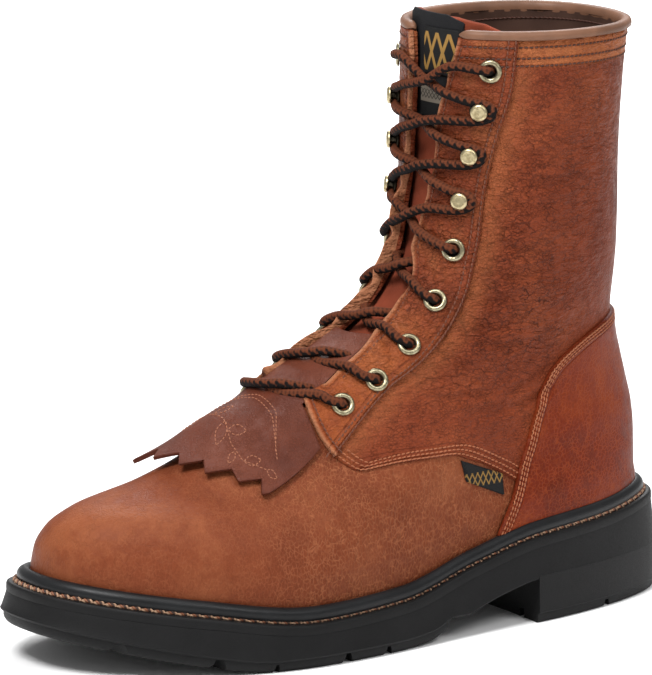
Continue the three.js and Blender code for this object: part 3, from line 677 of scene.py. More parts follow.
collarRows = (243.4, 238.8, 235.6)  # heights of the stitch rows round the collar
# In each look the crease share sets how strongly painted shade darkens the creases and the ripples' low
# parts.
leatherLooks = {
    "vampLeather": {
        "dark": (0.120, 0.028, 0.0115), "base": (0.162, 0.040, 0.0160), "light": (0.225, 0.067, 0.027),
        "groove": (0.30, 0.104, 0.046), "grooveShare": 0.66, "cell": 0.74, "cellStretch": (1.0, 0.9, 0.50),
        "grainDepth": 0.26,
        "ripple": 0.18, "creaseDepth": 0.10, "creaseStretch": (1.0, 1.0, 0.5), "creaseShadeShare": 0.2, "rows": (),
        "rough": 0.47, "coat": 0.01, "shine": 0.06,
    },
    "shaftLeather": {
        "dark": (0.128, 0.0245, 0.0090), "base": (0.180, 0.0360, 0.0130), "light": (0.220, 0.050, 0.0180),
        "groove": (0.045, 0.006, 0.002), "grooveShare": 0.50, "cell": 0.85, "cellStretch": (0.8, 0.7, 1.0),
        "grainDepth": 0.28,
        "ripple": 1.9, "creaseDepth": 0.30, "creaseStretch": (0.9, 0.38, 1.0), "creaseShadeShare": 0.62,
        "rows": (1.3, 3.2, 5.2),
        "rough": 0.46, "coat": 0.0, "shine": 0.09,
    },
    "counterLeather": {
        "dark": (0.072, 0.0090, 0.0022), "base": (0.130, 0.0150, 0.0028), "light": (0.190, 0.031, 0.0062),
        "groove": (0.25, 0.050, 0.012), "grooveShare": 0.5, "cell": 0.6, "cellStretch": (0.8, 0.8, 1.0),
        "grainDepth": 0.10,
        "ripple": 0.2, "creaseDepth": 0.10, "creaseStretch": (0.9, 0.6, 1.0), "creaseShadeShare": 0.3,
        "rows": (1.3, 3.0, 4.7),
        "rough": 0.44, "coat": 0.01, "shine": 0.08,
    },
    "eyestayLeather": {
        "dark": (0.095, 0.018, 0.0068), "base": (0.180, 0.037, 0.0130), "light": (0.28, 0.085, 0.030),
        "groove": (0.040, 0.007, 0.002), "grooveShare": 0.5, "cell": 0.7, "cellStretch": (0.85, 0.85, 1.0),
        "grainDepth": 0.17,
        "ripple": 1.2, "creaseDepth": 0.22, "creaseStretch": (0.7, 0.42, 1.0), "creaseShadeShare": 0.5,
        "rows": (1.1, 4.0),
        "rough": 0.46, "coat": 0.01, "shine": 0.10,
    },
    "kiltieLeather": {
        "dark": (0.072, 0.0155, 0.0072), "base": (0.106, 0.0250, 0.0115), "light": (0.140, 0.037, 0.0180),
        "groove": (0.045, 0.010, 0.0045), "grooveShare": 0.45, "cell": 1.15, "cellStretch": (1.0, 0.8, 1.0),
        "grainDepth": 0.16,
        "ripple": 0.5, "creaseDepth": 0.12, "creaseStretch": (1.0, 0.6, 1.0), "creaseShadeShare": 0.1, "rows": (),
        "rough": 0.46, "coat": 0.01, "shine": 0.16,
    },
}

# Lighter worn colours; on the shaft's collar band the lighter colour is partly painted light.
wornAndLitColours = {"shaft": (0.37, 0.118, 0.042), "eyestay": (0.30, 0.075, 0.020), "rawEdge": (0.36, 0.15, 0.075)}


def shadedGroove(make, colour, height, away, look, width, share, depth):
    # the groove that a row of stitches lies in, pressed into the height and darkened with painted shade
    dip = ranged(make, away, 0.1, width, 1.0, 0.0)
    colour = mixed(make, times(make, dip, share), colour, look["dark"])
    return colour, minus(make, height, times(make, dip, depth))


def leather(name):
    look = leatherLooks[name]
    material, tree, shader, make, place = startMaterial(
        name, Roughness=look["rough"], Coat_Weight=look["coat"], Coat_Roughness=0.4,
        Specular_IOR_Level=look["shine"])
    patch = noise(make, place, 0.026, 3, 0.6)
    mottle = noise(make, place, 0.20, 5, 0.65)
    speck = noise(make, place, 1.5, 2, 0.6)
    groove = ranged(make, cells(make, place, look["cell"], 0.9, look["cellStretch"]), 0.0, 0.17, 1.0, 0.0)
    groove = times(make, groove, ranged(make, mottle, 0.36, 0.6, 0.25, 1.0))
    tone = plus(make, times(make, patch, 0.78), times(make, mottle, 0.22))
    colour = mixed(make, ranged(make, tone, 0.30, 0.50), look["dark"], look["base"])
    colour = mixed(make, ranged(make, tone, 0.47, 0.68), colour, look["light"])
    parts = make("ShaderNodeSeparateXYZ", {0: place})
    if name == "vampLeather":
        # veins fade out towards the toe, and painted shade darkens the leather towards the welt
        toward = plus(make, parts.outputs["Y"], times(make, parts.outputs["X"], -0.35))
        groove = times(make, groove, ranged(make, toward, -215.0, -165.0, 0.3, 1.0))
        colour = mixed(make, ranged(make, parts.outputs["Z"], 62.0, 24.0, 0.0, 0.55), colour, look["dark"])
    colour = mixed(make, times(make, groove, look["grooveShare"]), colour, look["groove"])
    colour = mixed(make, ranged(make, speck, 0.58, 0.75, 0.0, 0.3), colour, look["light"])
    height = plus(make, times(make, groove, -0.8), times(make, speck, 0.45))
    height = times(make, height, look["grainDepth"])
    where = plus(make, times(make, attribute(make, "wrinkle"), 0.85), 0.15)
    ripple = ranged(make, noise(make, place, 0.36, 3, 0.55, look["creaseStretch"]), 0.30, 0.70)
    ripple = times(make, ripple, where)
    lines = ranged(make, cells(make, place, 0.46, 1.1, look["creaseStretch"]), 0.0, 0.12, 1.0, 0.0)
    crease = times(make, lines, ranged(make, noise(make, place, 0.09, 2, 0.5), 0.34, 0.56, 0.15, 1.0))
    folded = ranged(make, cells(make, place, 0.27, 1.5, look["creaseStretch"]), 0.0, 0.085, 1.0, 0.0)
    folded = times(make, folded, ranged(make, noise(make, place, 0.16, 2, 0.5), 0.42, 0.58))
    crease = times(make, larger(make, crease, times(make, folded, 1.5)), where)
    # Painted shade: the creases and the low parts of the ripples are darkened towards a deeper dark colour.
    low = times(make, ranged(make, ripple, 0.0, 0.45, 1.0, 0.0), times(make, where, 0.22))
    creaseShade = tuple(c * 0.4 for c in look["dark"])
    colour = mixed(make, times(make, larger(make, crease, low), look["creaseShadeShare"]), colour, creaseShade)
    height = minus(make, height, times(make, crease, look["creaseDepth"]))
    height = plus(make, height, times(make, ripple, look["ripple"]))
    if name == "shaftLeather":
        # A lighter worn colour near the eyestay's back seam, and on the collar band at the top of the shaft,
        # where it is partly wear and partly painted light.
        band = ranged(make, parts.outputs["Z"], 234.0, 236.5, 0.0, 0.85)
        nearSeam = ranged(make, attribute(make, "backAway"), 13.0, 1.0, 0.0, 0.4)
        worn = times(make, larger(make, band, nearSeam), ranged(make, mottle, 0.3, 0.6, 0.5, 1.0))
        colour = mixed(make, worn, colour, wornAndLitColours["shaft"])
    if name in ("shaftLeather", "eyestayLeather"):
        for row in collarRows:
            rowAway = apart(make, parts.outputs["Z"], row)
            colour, height = shadedGroove(make, colour, height, rowAway, look, 0.8, 0.5, 0.34)
    if name == "eyestayLeather":
        lower = ranged(make, parts.outputs["Z"], 150.0, 95.0, 0.0, 0.7)
        worn = times(make, lower, ranged(make, mottle, 0.35, 0.6, 0.4, 1.0))
        colour = mixed(make, worn, colour, wornAndLitColours["eyestay"])
    away = attribute(make, "edgeAway")
    colour = mixed(make, ranged(make, away, 0.15, 0.9, 0.5, 0.0), colour, look["dark"])
    seam = attribute(make, "seamAway")
    for row in look["rows"]:
        colour, height = shadedGroove(make, colour, height, apart(make, seam, row), look, 0.75, 0.42, 0.34)
    if name == "eyestayLeather":
        rim = attribute(make, "rimAway")
        raw = ranged(make, plus(make, rim, times(make, mottle, -1.2)), -0.3, 1.3, 0.8, 0.0)
        colour = mixed(make, raw, colour, wornAndLitColours["rawEdge"])
        colour, height = shadedGroove(make, colour, height, apart(make, rim, 2.6), look, 0.7, 0.4, 0.3)
    tree.links.new(colour, shader.inputs["Base Color"])
    bumped(make, shader, height, 1.0)
    rough = ranged(make, mottle, 0.3, 0.7, look["rough"] - 0.07, look["rough"] + 0.1)
    tree.links.new(rough, shader.inputs["Roughness"])
    return material


def rubber(name, colour, rough, depth):
    material, tree, shader, make, place = startMaterial(name, Roughness=rough, Specular_IOR_Level=0.2)
    grain = noise(make, place, 2.2, 3, 0.6)
    cloud = noise(make, place, 0.05, 3, 0.6)
    darker, lighter = (tuple(c * share for c in colour) for share in (0.8, 1.25))
    tint = mixed(make, ranged(make, cloud, 0.3, 0.7), darker, lighter)
    tree.links.new(tint, shader.inputs["Base Color"])
    tree.links.new(ranged(make, grain, 0.3, 0.7, rough - 0.08, rough + 0.08), shader.inputs["Roughness"])
    bumped(make, shader, grain, depth)
    return material


materials = {name: leather(name) for name in leatherLooks}
materials["sole"] = rubber("soleRubber", (0.0040, 0.0039, 0.0041), 0.60, 0.10)
materials["bead"] = rubber("weltBead", (0.0075, 0.0078, 0.0085), 0.40, 0.04)
materials["lining"] = rubber("liningLeather", (0.048, 0.025, 0.018), 0.36, 0.05)
materials["suede"] = rubber("tongueSuede", (0.185, 0.038, 0.017), 0.95, 0.25)
materials["binding"] = rubber("bindingLeather", (0.150, 0.072, 0.042), 0.45, 0.05)
print("materials")

# How far the two faces of each panel stand off the last. The overlays lie on the quarters, the kiltie
# on the vamp, and eyeletHole is a radius.
panelSizes = {
    "quarter": (0.0, -1.8), "vamp": (-0.9, -2.3), "overlay": 1.6, "underOverlay": 0.02, "eyeletHole": 3.0,
    "lining": (-2.0, -3.3), "kiltie": (1.75, 0.2), "tongue": (-4.3, -6.8), "cloth": (-3.4, -4.2),
    "label": (-2.5, -3.3), "sideTag": (0.15, -0.85), "backTab": (1.7, 0.02),
}
# Outlines of the panels, as stations and heights, or as x and height where seen from the front.
counterEdge = [(106, 40), (101, 50), (97, 57.3), (93.8, 65.2), (88.7, 76.2), (83.3, 87.7), (77.3, 99.1),
               (70, 107), (60, 113), (45, 119), (30, 122.6), (23.5, 123.4)]
quarterEdge = [(182.2, 80), (179, 76.9), (175, 74.3), (166, 74.7), (156.5, 75.6), (141, 76), (127, 75.6),
               (113, 70.2), (104, 65.7), (96, 61)]
eyestayBack = [(182.2, 80), (174, 87.4), (163.4, 97), (152, 106), (139.5, 113.4), (123, 127), (114.6, 139.1),
               (108.3, 158.7), (104.8, 183.6), (101, 206.8), (97.2, 222.9), (95, 246.5)]
eyestayFront = [(186, 105.5), (187.2, 101), (187.5, 95.3), (186.5, 89.7), (184.8, 84.8), (182.2, 80)]


def bothSides(points):  # the same line on the outer and the inner side, in u and v
    outer = onView("side", points, "outer", soft=True)
    inner = onView("side", points, "inner", soft=True)
    return outer, inner


def unwound(uv):  # u of the inner side below zero, so that a panel can cross the heel
    return np.where(uv[:, :1] > 300, uv - [600, 0], uv)


def throatLine(side, low, high, inset=0.0, rough=0.0, seed=1):
    z = np.linspace(low, high, int((high - low) / 1.2) + 2)
    x = throatLat(z) - inset if side > 0 else throatMed(z) + inset
    if rough:
        waves = np.random.default_rng(seed).uniform(0, 6.28, 4)
        ragged = np.sin(z / 1.9 + waves[0]) * 0.5 + np.sin(z / 4.3 + waves[1]) + np.sin(z / 7.7 + waves[2])
        x = x + rough * ragged
    return located("front", np.stack([x, z], 1), "front")


# Fittings up the eyestays: height, distance from the centre line on each side, and kind.
lacing = [
    (99.6, 23.8, -21.6, "eyelet"),
    (108.3, 25.3, -21.8, "eyelet"),
    (120.8, 24.6, -21.2, "eyelet"),
    (137.6, 22.0, -20.8, "eyelet"),
    (158.3, 21.6, -21.4, "eyelet"),
    (178.8, 21.9, -21.8, "hook"),
    (198.1, 24.3, -22.4, "hook"),
    (216.8, 27.1, -23.0, "hook"),
    (233.6, 29.8, -25.2, "eyelet"),
]
spots = {
    1: located("front", [(row[1], row[0]) for row in lacing], "front"),
    -1: located("front", [(row[2], row[0]) for row in lacing], "front"),
}


def eyeletHoles(side):
    radius = panelSizes["eyeletHole"]
    return [(tuple(spots[side][k]), radius) for k, row in enumerate(lacing) if row[3] == "eyelet"]


def makeQuarters():
    front = [(p[0] - 0.7, p[1] + 0.2) for p in eyestayFront]
    lap = [(s, z + 0.4) for s, z in quarterEdge]
    under = [(90, 50), (89, 40)]
    line = []
    for side, region in ((1, "outer"), (-1, "inner")):
        edge = throatLine(side, 107, collarHeight + 0.9, 0.6)[::-1]
        run = onView("side", front[:-1] + lap + under, region)
        foot = [[run[-1, 0], -3.5]]
        line.append(np.concatenate([edge, run, foot]))
    outer, inner = line[0], unwound(line[1])
    outline = np.concatenate([outer, inner[::-1]])
    holes = eyeletHoles(1) + [((u - 600, v), radius) for (u, v), radius in eyeletHoles(-1)]
    piece = sheet("quarters", outline, *panelSizes["quarter"], materials["shaftLeather"], (2.15, 1.75),
                  relief=quarterRelief, holes=holes)
    finish(piece, "upper_leather", "upper")
    return outline


# Waves of the leather: the ankle's height and spread, the depth there and up the shaft, and the calm
# round each fitting.
waveSizes = {"ankle": 128, "spread": 45, "ankleDepth": 0.34, "shaftDepth": 0.07, "calm": 8}
# Folds: stations and heights on the outer side, then depth and half width. The inner side has them a
# little lower.
folds = [
    ([(101.4, 161.6), (94.2, 158.1), (85.4, 156.9)], 0.7, 1.9),
    ([(104, 148), (96.7, 146.2), (89.4, 146.8), (80.5, 148)], 0.8, 2.0),
    ([(113.4, 139.1), (104.9, 136.7), (95.9, 137.3)], 0.9, 1.9),
    ([(116.3, 132.2), (108, 126.3), (101.4, 125.1), (94, 126.6)], 1.0, 2.0),
    ([(117.8, 127.5), (108.4, 120), (102.5, 118.4)], 0.7, 1.7),
    ([(128.9, 118.8), (118.6, 110.4), (116.4, 105.4)], 0.9, 1.8),
    ([(133.5, 112.8), (126.8, 105.2), (118.8, 99.7)], 0.8, 1.8),
    ([(105.2, 120.6), (98.9, 116.3), (91.1, 117.5)], 0.6, 1.7),
    ([(98.4, 96), (83, 101.6), (73.5, 104.8)], 0.7, 1.9),
    ([(118, 91.9), (98.8, 91.5), (83.3, 93.4), (74.5, 97.1)], 0.8, 2.0),
    ([(100.6, 169.4), (92.7, 165.8)], 0.5, 1.7), ([(100.8, 177.7), (88.9, 174.1), (74.8, 174.7)], 0.6, 2.0),
    ([(99.2, 186), (85, 184.8), (67.9, 186)], 0.6, 2.1),
    ([(131.9, 99.1), (117.8, 98.4), (104.7, 99.5)], 0.8, 1.9),
    ([(148, 119.5), (150.2, 112.4), (151.9, 108.8)], 0.6, 1.5),
    ([(145.7, 127.5), (148.2, 121.5), (149.5, 115.4)], 0.6, 1.5),
    ([(121.8, 146.2), (118.9, 145), (115.3, 145.6)], 0.4, 1.4),
    ([(123.8, 144.4), (120.1, 142), (117.5, 141.4)], 0.4, 1.4),
    ([(111.3, 224.6), (107.5, 224), (102.8, 224.6)], 0.4, 1.4),
    ([(97.1, 213.3), (86.1, 208.6), (76.8, 209.2)], 0.5, 2.1),
    ([(99.2, 200.9), (89.6, 196.1), (80.1, 196.7)], 0.5, 2.1),
    ([(185.5, 75.4), (183.4, 64.2), (184.9, 52.9)], 0.35, 2.4),
    ([(197.5, 76.3), (197.3, 65)], 0.3, 2.2),
]
foldLines = []
for region, moved in (("outer", (0, 0)), ("inner", (2.5, -3))):
    for points, depth, width in folds:
        line = onView("side", [(s + moved[0], z + moved[1]) for s, z in points], region, soft=True)
        foldLines.append((surface(line[:, 0], line[:, 1]), depth, width))
spotPlaces = np.concatenate([surface(spots[side][:, 0], spots[side][:, 1]) for side in (1, -1)])


def bodyShift(base):  # how far the leather stands off the last at each place
    s, z = heelCentre - base[:, 1], base[:, 2]
    ankle = np.exp(-(((z - waveSizes["ankle"]) / waveSizes["spread"]) ** 2))
    ankle = ankle * np.clip((s - 35) / 45, 0, 1) * np.clip((190 - s) / 40, 0, 1)
    waves = np.sin(z / 7.5 + s / 15) * np.sin(s / 11 - z / 19 + np.sign(base[:, 0]))
    waves = waves + 0.5 * np.sin(z / 4.1 - s / 9 + 1)
    calm = np.ones(len(base))
    for spot in spotPlaces:
        calm *= 1 - np.exp(-((np.linalg.norm(base - spot, axis=1) / waveSizes["calm"]) ** 2))
    shaft = np.clip((z - 120) / 60, 0, 1)
    shift = waves * (waveSizes["ankleDepth"] * ankle + waveSizes["shaftDepth"] * shaft) * calm
    for line, depth, width in foldLines:
        near = np.flatnonzero(np.all((base > line.min(0) - 8) & (base < line.max(0) + 8), axis=1))
        if len(near):
            d = lineDistance(base[near], line, closed=False)
            at = np.argmin(np.linalg.norm(base[near][:, None] - line[None], axis=2), axis=1) / (len(line) - 1)
            fade = np.sin(math.pi * (0.08 + 0.84 * at)) ** 0.6
            ridge = 0.5 * np.exp(-(((d - 2.1 * width) / (1.1 * width)) ** 2))
            shift[near] += depth * fade * (ridge - np.exp(-((d / width) ** 2)))
    return shift


def wrinkleMask(base):
    s, z = heelCentre - base[:, 1], base[:, 2]
    ankle = np.exp(-(((z - 135) / 42) ** 2)) * np.clip((s - 42) / 40, 0, 1)
    high = 0.5 * np.clip((z - 150) / 40, 0, 1) * np.clip((s - 20) / 40, 0, 1)
    return np.clip(ankle + high, 0, 1)


def seamDistance(base, *lines):
    onLast = [surface(line[:, 0], line[:, 1]) for line in lines]
    return np.min([lineDistance(base, line, closed=False) for line in onLast], axis=0)


def quarterRelief(u, v, base, away):
    seam = seamDistance(base, *bothSides(quarterEdge))
    back = seamDistance(base, *bothSides(eyestayBack))
    return bodyShift(base), {"wrinkle": wrinkleMask(base), "seamAway": seam, "backAway": back}


farAway = 50  # millimetres from a seam, for leather that shows none


def vampRelief(u, v, base, away):
    return bodyShift(base), {"wrinkle": np.full(len(u), 0.5), "seamAway": away * 0 + farAway}


def counterRelief(u, v, base, away):
    away = seamDistance(base, *bothSides(counterEdge))
    return bodyShift(base), {"wrinkle": wrinkleMask(base), "seamAway": away}


def eyestayRelief(side):
    region = "outer" if side > 0 else "inner"
    back, front = (onView("side", line, region, soft=True) for line in (eyestayBack, eyestayFront))
    edge = throatLine(side, 107, collarHeight - 0.2, 0, 0.35, 7 + side)

    def relief(u, v, base, away):
        rim = seamDistance(base, edge, front)
        throat = seamDistance(base, edge)
        z = base[:, 2]
        curl = np.clip((200 - z) / 30, 0, 1) * (4.4 if side < 0 else 1.0) + 0.25
        for row in lacing:
            curl = curl * (1 - 0.65 * np.exp(-(((z - row[0] - 2) / 2.8) ** 2)))
        lift = curl * np.clip(1 - throat / 6.0, 0, 1) ** 1.6
        thickFront = 0.9 * np.clip(1 - seamDistance(base, front) / 4.5, 0, 1) ** 0.5
        return bodyShift(base) + lift + thickFront, {
            "wrinkle": wrinkleMask(base), "seamAway": seamDistance(base, back), "rimAway": rim}

    return relief


def makeVamp():
    halves = []
    for side, region in ((1, "outer"), (-1, "inner")):
        up = [(99, 41), (92.5, 50), (90, 58), (94, 64)]
        lap = [(s - 1, z + 3.2) for s, z in quarterEdge[::-1][1:]]
        run = onView("side", up + lap + [(180, 90), (181, 97)], region)
        halves.append(np.concatenate([[[run[0, 0], -3.5]], run]))
    bridge = located("front", densely([(13, 102), (-10, 102)]), "front")
    outer, inner = halves
    inner = inner[::-1]
    toe = np.stack([np.linspace(inner[-1, 0], outer[0, 0], 200), np.full(200, -3.5)], 1)
    outline = np.concatenate([outer, bridge, inner, toe[1:-1]])
    piece = sheet("vamp", outline, *panelSizes["vamp"], materials["vampLeather"], (1.3, 1.25),
                  relief=vampRelief)
    finish(piece, "upper_leather")


def underOverlay(u, v, base):  # the underside of a leather that lies on the quarters
    return panelSizes["underOverlay"] + bodyShift(base)


def counterThick(u, v, base):
    rise = base[:, 2] - rimZ(heelCentre - base[:, 1])
    return 0.5 + (panelSizes["overlay"] - 0.5) * np.clip((rise - 3) / 6, 0, 1) ** 0.8


def makeCounter():
    outer, inner = bothSides(counterEdge)
    inner = unwound(inner)
    outer = np.concatenate([[[outer[0, 0] + 0.8, -0.5]], outer])
    inner = np.concatenate([[[inner[0, 0] - 0.8, -0.5]], inner])
    outline = np.concatenate([outer, inner[::-1]])
    bottom = np.stack([np.linspace(inner[0, 0], outer[0, 0], 160), np.full(160, -0.5)], 1)
    outline = np.concatenate([outline, bottom[1:-1]])
    piece = sheet("heelCounter", outline, counterThick, underOverlay, materials["counterLeather"], (1.5, 1.5),
                  edge=0.7, relief=counterRelief)
    finish(piece, "counter_leather", "heel_counter")


def makeEyestay(name, side, region, node):
    edge = throatLine(side, 107, collarHeight + 1.0, 0, 0.6, 7 + side)
    front = onView("side", eyestayFront, region, soft=True)
    back = onView("side", eyestayBack, region, soft=True)
    outline = np.concatenate([edge[::-1], front, back])
    if side > 0:
        outline = outline[::-1]
    piece = sheet(name, outline, panelSizes["overlay"], underOverlay, materials["eyestayLeather"], (1.5, 1.2),
                  edge=0.7, relief=eyestayRelief(side), holes=eyeletHoles(side))
    finish(piece, "eyestay_leather", node)


quarterOutline = makeQuarters()
print("quarters")
makeVamp()
print("vamp")
makeCounter()
makeEyestay("eyestayLateral", 1, "outer", "eyestay_lateral")
makeEyestay("eyestayMedial", -1, "inner", "eyestay_medial")
print("counter and eyestays")

# Sole
soleCount = 520


def makeMidsole():
    rings = [
        soleRing(grown(solePlan, grow), (lambda s, d=drop: rimZ(s) - d), soleCount)
        for grow, drop in ((0.2, 4.05), (0.25, 3.4), (0.2, 1.4), (-0.1, 0.5), (-0.5, 0.1), (-1.2, 0.0))
    ]
    finish(ringMesh("midsole", rings, materials["sole"]), "midsole_rubber", "midsole")


def makeWelt():
    section = [
        (0.0, "sole", -1.0), (0.2, "sole", -2.6), (0.3, "sole", -4.0), (0.25, "sole", -5.0),
        (0.7, "upper", 3.3), (1.6, "upper", 3.9), (2.9, "upper", 4.2), (4.3, "upper", 4.0),
        (5.6, "upper", 3.2), (6.5, "upper", 2.0), (6.8, "upper", 0.8), (6.4, "upper", -0.3),
        (5.2, "upper", -1.3), (0.3, "upper", -1.3), (-0.2, "sole", -5.0), (-0.2, "sole", -1.0),
    ]
    rings = []
    for lift, on, by in section:
        plan = grown(solePlan, by) if on == "sole" else grown(planAt(max(lift, 0)), by)
        rings.append(soleRing(plan, (lambda s, d=lift: rimZ(s) + d), soleCount))
    finish(ringMesh("welt", rings[::-1], materials["bead"], closed=True, sharp=60), "welt", "welt")


def plainMesh(piece):  # the evaluated piece with its modifiers applied
    graph = bpy.context.evaluated_depsgraph_get()
    changed = piece.evaluated_get(graph)
    mesh = bpy.data.meshes.new_from_object(changed, preserve_all_data_layers=True, depsgraph=graph)
    old = piece.data
    piece.modifiers.clear()
    piece.data = mesh
    bpy.data.meshes.remove(old)
    return piece


def carve(piece, other, operation):
    cut = piece.modifiers.new("cut", "BOOLEAN")
    cut.operation, cut.solver, cut.object = operation, "MANIFOLD", other
    plainMesh(piece)
    bpy.data.objects.remove(other)
    return piece


def sideBlock(outline, x0, x1, turn=0.0, centre=(0, 0)):  # a bar with a side outline of s and z
    n = len(outline)
    points = []
    a = math.radians(turn)
    for x in (x0, x1):
        for s, z in outline:
            dx, dy = x - centre[0], centre[1] - s
            points.append((centre[0] + dx * math.cos(a) - dy * math.sin(a),
                           heelCentre - centre[1] + dx * math.sin(a) + dy * math.cos(a), z))
    area = sum(a[0] * b[1] - b[0] * a[1] for a, b in zip(outline, outline[1:] + outline[:1]))
    low = list(range(n)) if area > 0 else list(range(n))[::-1]
    faces = [low, [k + n for k in low][::-1]]
    faces += [(low[(k + 1) % n], low[k], low[k] + n, low[(k + 1) % n] + n) for k in range(n)]
    return makeMesh("bar", points, faces, materials["sole"])


outsoleSizes = {"lug": 4.4, "breast": 87.5, "count": 360}
# Bars that part the lugs: station, x from and to, skew, mouth and depth.
lugBars = [
    (284, 3, 62, 10, 6, 4.2), (250, 28, 62, 6, 6.5, 4.2), (226, 34, 64, 0, 3, 3.4),
    (192, 34, 64, -4, 5, 4.2), (170, 34, 62, -8, 4, 3.6), (284, -62, -24, -10, 6, 4.2),
    (250, -64, -40, -6, 6.5, 4.2), (226, -64, -40, 0, 3, 3.4), (196, -62, -34, 4, 5, 4.2),
    (170, -60, -32, 8, 4, 3.6), (268, -30, 20, 8, 5, 3.4), (240, -34, 32, -8, 5, 3.4),
    (212, -36, 36, 8, 5, 3.4), (184, -34, 34, -8, 5, 3.4), (160, -30, 30, 8, 5, 3.4),
]


def soleStack(name, layers):
    rings = [soleRing(grown(solePlan, grow), z, outsoleSizes["count"]) for grow, z in layers]
    return ringMesh(name, rings, materials["sole"])


def sideBottom(s):
    return treadZ(s) + outsoleSizes["lug"] * np.clip((s - 126) / 10, 0, 1)


def wallTop(s):
    return rimZ(s) - 4.1


def makeOutsole():
    def share(t):
        return lambda s: sideBottom(s) * (1 - t) + wallTop(s) * t

    body = soleStack("outsole", [
        (1.7, sideBottom), (2.3, lambda s: sideBottom(s) + 0.3), (2.6, lambda s: sideBottom(s) + 0.9),
        (2.0, share(0.25)), (1.35, share(0.5)), (0.7, share(0.75)), (0.3, share(0.93)), (0.05, wallTop),
    ])
    tread = soleStack("tread", [
        (-0.6, treadZ), (0.2, lambda s: treadZ(s) + 0.5), (0.9, lambda s: treadZ(s) + 1.4),
        (1.3, lambda s: treadZ(s) + 2.6), (1.3, lambda s: treadZ(s) + 5.4),
    ])
    carve(tread, sideBlock([(138, -10), (330, -10), (330, 60), (138, 60)], -90, 90), "INTERSECT")
    heel = soleStack("heel", [
        (0.6, 0.0), (1.6, 0.4), (2.0, 1.2), (2.0, 4.0), (2.7, 4.15), (3.2, 4.6), (3.05, 10), (2.6, 20.5),
    ])
    b = outsoleSizes["breast"]
    face = [(-80, -20), (80, -20), (80, b), (46, b), (24, b - 2.1), (0, b - 2.9), (-24, b - 2.1),
            (-46, b), (-80, b)]
    points = [(x, heelCentre - s, z) for z in (-10, 60) for x, s in face]
    n = len(face)
    sides = [(k + n, (k + 1) % n + n, (k + 1) % n, k) for k in range(n)]
    ends = [tuple(range(n)), tuple(range(2 * n - 1, n - 1, -1))]
    breast = makeMesh("breast", points, ends + sides, materials["sole"])
    carve(heel, breast, "INTERSECT")
    carve(body, tread, "UNION")
    carve(body, heel, "UNION")
    for s, x0, x1, skew, mouth, top in lugBars:
        z = float(treadZ(s)) + top
        outline = [(s - mouth / 2, z - top - 4), (s + mouth / 2, z - top - 4), (s + mouth / 2, z - top),
                   (s + mouth / 5, z), (s - mouth / 5, z), (s - mouth / 2, z - top)]
        carve(body, sideBlock(outline, x0, x1, skew, ((x0 + x1) / 2, s)), "DIFFERENCE")
    for low, high, out, into, top in ((146, 330, -12, -15.6, 3.4), (-20, 100, -11, -15, 3.6)):
        base = treadZ if low > 100 else (lambda s: s * 0)
        groove = soleStack("groove", [(out, lambda s: base(s) - 5), (out, lambda s: base(s) + top)])
        core = soleStack("core", [(into, lambda s: base(s) - 7), (into, lambda s: base(s) + top + 2)])
        carve(groove, core, "DIFFERENCE")
        carve(groove, sideBlock([(low, -14), (high, -14), (high, 60), (low, 60)], -90, 90), "INTERSECT")
        carve(body, groove, "DIFFERENCE")
    for s, x0, x1 in ((45, 22, 62), (45, -62, -20), (20, -20, 20), (62, -26, 26)):
        notch = [(s - 2, -2), (s + 2, -2), (s + 2, 0), (s + 1, 3), (s - 1, 3), (s - 2, 0)]
        carve(body, sideBlock(notch, x0, x1), "DIFFERENCE")
    body.data.shade_smooth()
    body.data.set_sharp_from_angle(angle=math.radians(32))
    finish(body, "rubber", "outsole")


def makeInsole():
    plan = grown(planAt(0), -5)
    rings = [soleRing(grown(plan, -by), (lambda s, d=lift: rimZ(s) + d), 240) for by, lift in
             ((0.3, 0.3), (0, 0.6), (0, 3.4), (0.5, 3.9))]
    finish(ringMesh("insole", rings, materials["lining"]), "insole", "insole")


makeMidsole()
makeWelt()
makeOutsole()
makeInsole()
print("sole")


# Lining, tongue, collar
def makeLining():
    back = quarterOutline.copy()
    scale = stretch(back)
    p = surface(back[:, 0], back[:, 1])
    throatSide = (p[:, 1] < -40) & (p[:, 2] > 110)
    back[throatSide, 0] -= np.sign(back[throatSide, 0]) * 5 / scale[throatSide, 0]
    piece = sheet("lining", back, *panelSizes["lining"], materials["lining"], (3.2, 3.2), insets=())
    finish(piece, "binding_leather")


def tubeFaces(count, sides):  # a capped tube through rings of points, one after the other
    faces = []
    for k in range(count - 1):
        low, high = k * sides, (k + 1) * sides
        faces += [(low + i, low + (i + 1) % sides, high + (i + 1) % sides, high + i) for i in range(sides)]
    return faces + [tuple(range(sides))[::-1], tuple((count - 1) * sides + i for i in range(sides))]


